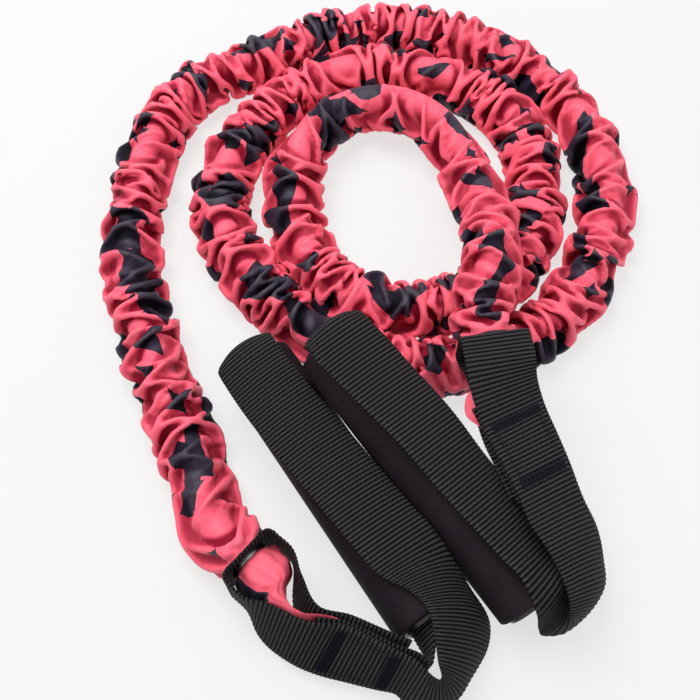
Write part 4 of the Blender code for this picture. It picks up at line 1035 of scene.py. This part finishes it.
# Length of cloth to a length of tube, at each point of the route
GATHER = [1.2, 1.35, 1.5, 1.55, 1.6, 1.65, 1.7, 1.8, 1.8, 1.8, 2.1, 2.4, 2.4, 1.5, 1.55, 1.4, 1.3, 1.35, 1.45,
          1.7, 2.1, 2.3, 2.1, 1.9, 2.0, 2.2, 2.2, 2.1, 2.1, 1.5, 1.9, 2.3, 2.4, 2.1, 2.1, 2.3, 2.1, 1.8, 1.55,
          1.35, 1.15, 1.1, 1.15, 1.2, 1.25, 1.35, 1.45, 1.5]


def smooth_noise(rng, at, scale, terms=24):
    """Sum of sines of unlike length and phase, about -1 to 1."""
    out = np.zeros_like(at)
    for _ in range(terms):
        out += np.sin(2 * math.pi * at / (scale * rng.uniform(0.6, 2.2)) + rng.uniform(0, 2 * math.pi))
    return out / math.sqrt(terms) * 1.1


def pull(a, b, rest, share):
    """Moves two sets of points towards the distance rest between them."""
    d = b - a
    far = np.sqrt((d * d).sum(-1, keepdims=True)) + 1e-6
    d *= share * 0.5 * (1 - rest / far)
    a += d
    b -= d


def pull_across(p, rows_a, rows_b, shift, rest, share):
    """Ties between two sets of rows, shift columns over, the seam of the ring included."""
    pull(p[rows_a, :AROUND - shift], p[rows_b, shift:], rest, share)
    pull(p[rows_a, AROUND - shift:], p[rows_b, :shift], rest, share)


def hold_cloth(p):
    """One round of the ties along, around and across the cloth, and of those that stiffen it."""
    pull(p[0::2], p[1::2], ROW, HOLD)
    pull(p[1:-1:2], p[2::2], ROW, HOLD)
    pull(p[:, 0::2], p[:, 1::2], COLUMN, HOLD)
    pull(p[:, 1:-1:2], p[:, 2::2], COLUMN, HOLD)
    pull(p[:, -1:], p[:, :1], COLUMN, HOLD)
    even, odd = slice(0, None, 2), slice(1, None, 2)
    inner_even, inner_odd = slice(2, None, 2), slice(1, -1, 2)
    for rows_a, rows_b in ((even, odd), (inner_odd, inner_even), (odd, even), (inner_even, inner_odd)):
        pull_across(p, rows_a, rows_b, 1, math.hypot(ROW, COLUMN), SHEAR_HOLD)
    for rows in (p, p[2:-2]):
        block = rows.reshape(-1, 4, AROUND, 3)
        pull(block[:, 0:2], block[:, 2:4], 2 * ROW, STIFF)
    for a, b in ((slice(0, None, 4), slice(2, None, 4)), (slice(1, None, 4), slice(3, None, 4)),
                 (slice(2, -2, 4), slice(4, None, 4)), (slice(3, -1, 4), slice(5, None, 4)),
                 (slice(AROUND - 2, AROUND), slice(0, 2))):
        pull(p[:, a], p[:, b], 2 * COLUMN, STIFF)


EVERY_WAY = [(x, y, z) for x in (-1, 0, 1) for y in (-1, 0, 1) for z in (-1, 0, 1)]
HALF_THE_WAYS = [o for o in EVERY_WAY if o > (0, 0, 0)]


def near_pairs(q, cut):
    """Pairs of points nearer than cut that aren't neighbours in the cloth, found through a grid of cells."""
    low = q.min(axis=0) - 2 * cut
    cell = ((q - low) / cut).astype(np.int64)
    size = cell.max(axis=0) + 3
    key = (cell[:, 0] * size[1] + cell[:, 1]) * size[2] + cell[:, 2]
    order = np.argsort(key, kind="stable")
    held = np.bincount(key, minlength=int(size.prod()))
    start = np.cumsum(held) - held
    every = np.arange(len(q))
    rank = np.empty(len(q), np.int64)
    rank[order] = every
    first, second = [], []

    def keep(i, j):
        d = q[i] - q[j]
        near = (d * d).sum(1) < cut * cut
        i, j = i[near], j[near]
        rows = np.abs(i // AROUND - j // AROUND)
        cols = np.abs(i % AROUND - j % AROUND)
        cols = np.minimum(cols, AROUND - cols)
        near = (rows > 1) | (cols > 1)
        first.append(i[near])
        second.append(j[near])

    for m in range(1, int(held.max())):
        i = every[rank + m < start[key] + held[key]]
        keep(i, order[rank[i] + m])
    for o in HALF_THE_WAYS:
        other = key + (o[0] * size[1] + o[1]) * size[2] + o[2]
        many = held[other]
        for m in range(int(many.max())):
            i = every[many > m]
            keep(i, order[start[other[i]] + m])
    return np.concatenate(first), np.concatenate(second)


def push_apart(q, pairs, far):
    """Moves apart those pairs of points that are nearer than far."""
    i, j = pairs
    d = q[i] - q[j]
    l2 = (d * d).sum(1)
    near = l2 < far * far
    i, j, d, far_off = i[near], j[near], d[near], np.sqrt(l2[near]) + 1e-6
    d *= (0.3 * (far / far_off - 1))[:, None]
    for k in range(3):
        q[:, k] += np.bincount(i, d[:, k], len(q)) - np.bincount(j, d[:, k], len(q))


def frames(points):
    """Heading, upward and sideways directions along a line of points."""
    head = norm(np.gradient(points, axis=0))
    up = norm(vec(0, 0, 1) - head * head[:, 2:])
    return head, up, np.cross(head, up)


def at_centre(at):
    """Index of the middle line's point at a length along it."""
    return np.clip((at / PITCH).astype(np.int32), 0, len(centre) - 1)


def first_shape(seed=7):
    """Rings of cloth along the middle line before they settle: ovals with folds of unlike length."""
    _, up, side = frames(centre)
    rng = np.random.default_rng(seed)
    t = np.arange(len(centre)) * PITCH
    gather = 1 + (np.interp(t, knots, GATHER) - 1) * 0.98
    gather *= 1 + 0.42 * smooth_noise(rng, t, 30.0) * np.clip(gather - 1.1, 0, 1)
    gather = np.maximum(gather, 1.05)
    cloth = np.concatenate([[0.0], np.cumsum(gather[1:] * PITCH)])
    rows = int(cloth[-1] / ROW) // 4 * 4
    along = np.linspace(0, cloth[-1], rows)
    row_t = np.interp(along, cloth, t)
    row_g = np.interp(row_t, t, gather)
    # The first column is at the underside, where the sleeve's seam lies
    angle = math.pi + full_turn(AROUND)
    s2 = np.repeat(along[:, None], AROUND, 1)
    slant = sum(smooth_noise(rng, s2 + shift, 60.0) * np.cos(order * angle + phase)
                for order, phase, shift in ((1, 0.3, 0), (1, 1.9, 400), (2, 1.1, 900), (2, 2.6, 1500)))
    fold_at = 2 * math.pi * along / 29.0 + 3.2 * smooth_noise(rng, along, 60.0)
    fold = np.sin(fold_at[:, None] + 2.3 * slant)
    deep = np.clip((row_g - 1) * 4.2, 0.2, 4.6)
    turn = 2.2 * smooth_noise(rng, along, 230.0) + 0.6
    # Loose cloth lies in a wider and flatter oval than closely gathered cloth
    flat = np.clip((1.9 - row_g) / 0.6, 0, 1)
    rel = angle[None, :] - turn[:, None]
    ring = 1 / np.sqrt((np.cos(rel) / (9.0 + 2.4 * flat)[:, None]) ** 2
                       + (np.sin(rel) / (8.8 - 1.8 * flat)[:, None]) ** 2)
    puff = 1.9 * smooth_noise(rng, row_t, 30.0)[:, None]
    lobe = 0.8 * smooth_noise(rng, along, 30.0)[:, None]
    puff = puff + lobe * np.cos(angle - 1.5 * smooth_noise(rng, along, 80.0)[:, None])
    r = np.clip(ring + 0.8 + puff + fold * deep[:, None], BARE_R + 0.5, 12.6)
    taper = np.clip(np.minimum(row_t, total_t - row_t) / 9.0, 0, 1)[:, None]
    r = r * taper + (FLANGE_D / 2 + 0.6) * (1 - taper)
    k = at_centre(row_t)
    p = centre[k][:, None] + r[..., None] * spokes(angle, up[k], side[k])
    p[..., 2] = np.maximum(p[..., 2], LOWEST + 0.05)
    return np.ascontiguousarray(p, dtype=np.float32), along, row_t


def keep_off(p, posts):
    """Moves the cloth out of round things, given by the start and end of their axis and their radius."""
    for start, end, radius in posts:
        axis = end - start
        share = np.clip(((p - start) @ axis) / (axis @ axis), 0, 1)
        rel = p - (start + share[..., None] * axis)
        r = np.sqrt((rel * rel).sum(-1)) + 1e-6
        inside = r < radius
        if inside.any():
            p[inside] += rel[inside] * (radius / r[inside] - 1)[:, None]


def settle(p, row_t, posts):
    """Lets the cloth find its folds: it sinks, keeps its lengths and stays off itself, tube and floor."""
    middle, heading = centre.astype(np.float32), frames(centre)[0].astype(np.float32)
    at = np.repeat(row_t[:, None], AROUND, 1).astype(np.float32)
    old = p.copy()
    points = p.reshape(-1, 3)
    ends = np.minimum(row_t, total_t - row_t) < 2.0
    pinned = p[ends].copy()
    row_heading = heading[at_centre(row_t)][:, None]
    for step in range(STEPS):
        drift = (p - old) * DRIFT
        old[:] = p
        p += drift
        p[..., 2] -= SINK
        if step % 8 == 0:
            pairs = near_pairs(points, THICK + 1.0)
        hold_cloth(p)
        push_apart(points, pairs, THICK)
        # Over the tube, inside the reach of the cloth, and evenly along
        k = at_centre(at)
        rel = p - middle[k]
        slip = (rel * heading[k]).sum(-1)
        at += np.clip(slip, -1.5, 1.5)
        np.clip(at, 0, total_t, out=at)
        rel -= slip[..., None] * heading[k]
        r = np.sqrt((rel * rel).sum(-1)) + 1e-6
        rel *= (np.clip(r, BARE_R + 0.45, LONGEST_REACH) / r - 1)[..., None]
        p += rel
        away = (row_t - at.mean(1)).astype(np.float32)
        p += (np.clip(away, -0.6, 0.6) * 0.3)[:, None, None] * row_heading
        keep_off(p, posts)
        low = p[..., 2] < LOWEST
        p[..., 2][low] = LOWEST
        old[low] += (p - old)[low] * 0.5
        p[ends] = pinned
    return p.astype(float)


def refined(rings):
    """Twice the rows and columns, on the smooth surface through the points."""
    def between(values, axis, closed):
        """Points halfway, by a cubic through four neighbours."""
        if closed:
            a, b, c = (np.roll(values, -k, axis) for k in (1, 2, -1))
            return (9 * (values + a) - b - c) / 16
        first, last = np.take(values, [0], axis), np.take(values, [-1], axis)
        padded = np.concatenate([first, values, last], axis)
        count = values.shape[axis]
        near = [np.take(padded, np.arange(k, k + count - 1), axis) for k in range(4)]
        return (9 * (near[1] + near[2]) - near[0] - near[3]) / 16

    rows, cols = rings.shape[:2]
    wide = np.empty((rows, 2 * cols, rings.shape[2]))
    wide[:, 0::2] = rings
    wide[:, 1::2] = between(rings, 1, True)
    out = np.empty((2 * rows - 1, 2 * cols, rings.shape[2]))
    out[0::2] = wide
    out[1::2] = between(wide, 0, False)
    return out


def fold_depth(rings, at):
    """How far each point lies below the crests near it, from 0 on a crest to 1 deep in a fold."""
    far = np.linalg.norm(rings - centre[at_centre(at)][:, None], axis=2)
    crest = far.copy()
    for shift in range(1, 9):
        crest[shift:] = np.maximum(crest[shift:], far[:-shift])
        crest[:-shift] = np.maximum(crest[:-shift], far[shift:])
    for shift in (1, 2, 3):
        crest = np.maximum(crest, np.maximum(np.roll(far, shift, 1), np.roll(far, -shift, 1)))
    return np.clip((crest - far) / 3.6, 0, 1)


def add_sleeve_piece(name, first, last):
    """Rows first to last of the sleeve, with the normals of the whole, so that no seam shows."""
    use = slice(first, last + 1)
    obj = add_grid(name, rings[use], FABRIC, cloth_uv[use])
    obj.data.normals_split_custom_set_from_vertices([tuple(n) for n in normals[use].reshape(-1, 3)])
    # The depth of each point in its fold, which the fabric turns into painted shade
    deep = obj.data.attributes.new("fold", "FLOAT", "POINT")
    deep.data.foreach_set("value", depth[use].astype(np.float32).ravel())
    return obj


# How much of the tube's end, from the eye, is made as a piece of its own
BEND_LENGTH = 24.0


def bend(piece, letter):
    """Bakes the piece's placement into its mesh."""
    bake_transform(piece)


handles = {"a": strap_a(), "b": strap_b()}
add_handle("a", grip_a, handles["a"])
add_handle("b", grip_b, handles["b"])

route_points = [vec(x, y, z + LIE) for x, y, z in ROUTE]
line = middle_line()
total = chords(line)[-1]
sleeve_from = FLARE_X + FLARE_L + EYE_GAP + 0.1
centre = read_at(line, np.arange(sleeve_from, total - sleeve_from, PITCH))
total_t = (len(centre) - 1) * PITCH
knots = np.array([np.linalg.norm(centre - q, axis=1).argmin() * PITCH for q in route_points])
posts = [(g.low.astype(np.float32), g.top.astype(np.float32), FOAM_D / 2 + reach)
         for g, reach in ((grip_a, 3.0), (grip_b, 2.8))]

cloth, along, row_t = first_shape()
rings = refined(settle(cloth, row_t, posts))
fine = np.arange(len(rings)) / 2
fine_along = np.interp(fine, np.arange(len(along)), along)
fine_t = np.interp(fine, np.arange(len(row_t)), row_t)
round_at = np.arange(2 * AROUND + 1) / (2 * AROUND) * CLOTH_ROUND
cloth_uv = cloth_map(round_at, fine_along)
normals = norm(np.cross(np.roll(rings, -1, 1) - np.roll(rings, 1, 1), np.gradient(rings, axis=0)))
depth = fold_depth(rings, fine_t)

first = int(np.searchsorted(fine_t, BEND_LENGTH))
last = int(np.searchsorted(fine_t, fine_t[-1] - BEND_LENGTH))
main = add_sleeve_piece("gathered_sleeve", first, last)
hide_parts("sleeve")
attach(main, "tube")
bend(add_sleeve_piece("gathered_sleeve_end_a", 0, first), "a")
bend(add_sleeve_piece("gathered_sleeve_end_b", last, len(rings) - 1), "b")


# Latex tube inside the sleeve, with its bore and flared ends

def add_latex(name, at, sides=40):
    """Rings out along the outside and back along the bore, so that the wall is closed."""
    flare = np.clip((FLARE_L - np.minimum(at, total - at)) / 2.2, 0, 1)
    flare = flare * flare * (3 - 2 * flare)
    outer = TUBE_D / 2 + (FLARE_D - TUBE_D) / 2 * flare
    bore = TUBE_BORE / 2 + (FLARE_BORE - TUBE_BORE) / 2 * flare
    points = read_at(line, at)
    _, up, side = frames(points)
    out = spokes(full_turn(sides), up, side)
    outside, inside = (points[:, None] + out * r[:, None, None] for r in (outer, bore))
    obj = add_closing(add_grid(name, np.concatenate([outside, inside[::-1], outside[:1]]), LATEX, smooth=50))
    return obj


reach = sleeve_from + BEND_LENGTH
latex = add_latex("latex_run", np.arange(reach, total - reach, 1.5))
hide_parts("latex_tube")
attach(latex, "tube")
for letter, at in (("a", np.arange(0, reach + 0.1, 0.5)), ("b", np.arange(total - reach, total + 0.01, 0.5))):
    piece = add_latex("latex_end_" + letter, np.clip(at, 0, total))
    bpy.context.view_layer.update()
    bend(piece, letter)


# Floor, light and camera

ELEVATION = 64.0
DISTANCE = 0.3888
PIXELS_WIDE = 700
FOCAL_PIXELS = 975
SENSOR = 36
AIM = Vector((-CENTRE_X / 1000, -CENTRE_Y / 1000, 0))

world = bpy.data.worlds.new("soft studio")
world.use_nodes = True
sky = Nodes(world.node_tree)
# The backdrop that is seen, and that shiny things show, is paler than the light it gives
rays = sky.node("LightPath")
plain = sky.math("MAXIMUM", rays["Is Camera Ray"], rays["Is Glossy Ray"])
glow = sky.tree.nodes["Background"]
sky.feed(glow.inputs["Color"], (1.0, 0.99, 0.985, 1))
sky.feed(glow.inputs["Strength"], 0.56)
backdrop = sky.node("Background", {"Color": (0.93, 0.93, 0.94, 1)})[0]
chosen = sky.node("MixShader", {"Fac": plain, 1: glow.outputs[0], 2: backdrop})[0]
sky.feed(sky.tree.nodes["World Output"].inputs["Surface"], chosen)
bpy.context.scene.world = world


def add_lamp(name, place, energy, size):
    lamp = bpy.data.lights.new(name, "AREA")
    lamp.energy, lamp.size = energy, size
    obj = bpy.data.objects.new(name, lamp)
    obj.location = place
    obj.rotation_euler = (AIM - Vector(place)).to_track_quat("-Z", "Y").to_euler()
    bpy.context.scene.collection.objects.link(obj)


add_lamp("key", (-0.35, 0.45, 0.85), 10.2, 0.7)
add_lamp("fill", (0.6, -0.2, 0.8), 2.5, 0.6)

bpy.ops.mesh.primitive_plane_add(size=8)
floor = bpy.context.object
floor.name = "floor"
paper = Paint("pale floor")
floor.data.materials.append(paper.finish((0.18, 0.18, 0.183, 1), 0.9, Specular_IOR_Level=0.05,
                                         Emission_Color=(1.0, 0.995, 0.99, 1), Emission_Strength=0.68))

camera = bpy.data.cameras.new("camera")
camera.sensor_width = SENSOR
camera.lens = FOCAL_PIXELS / PIXELS_WIDE * SENSOR
eye_point = bpy.data.objects.new("camera", camera)
tilt = math.radians(ELEVATION)
eye_point.location = AIM + Vector((0, -DISTANCE * math.cos(tilt), DISTANCE * math.sin(tilt)))
eye_point.rotation_euler = (math.pi / 2 - tilt, 0, 0)
bpy.context.scene.collection.objects.link(eye_point)
bpy.context.scene.camera = eye_point
bpy.context.scene.view_settings.view_transform = "Standard"
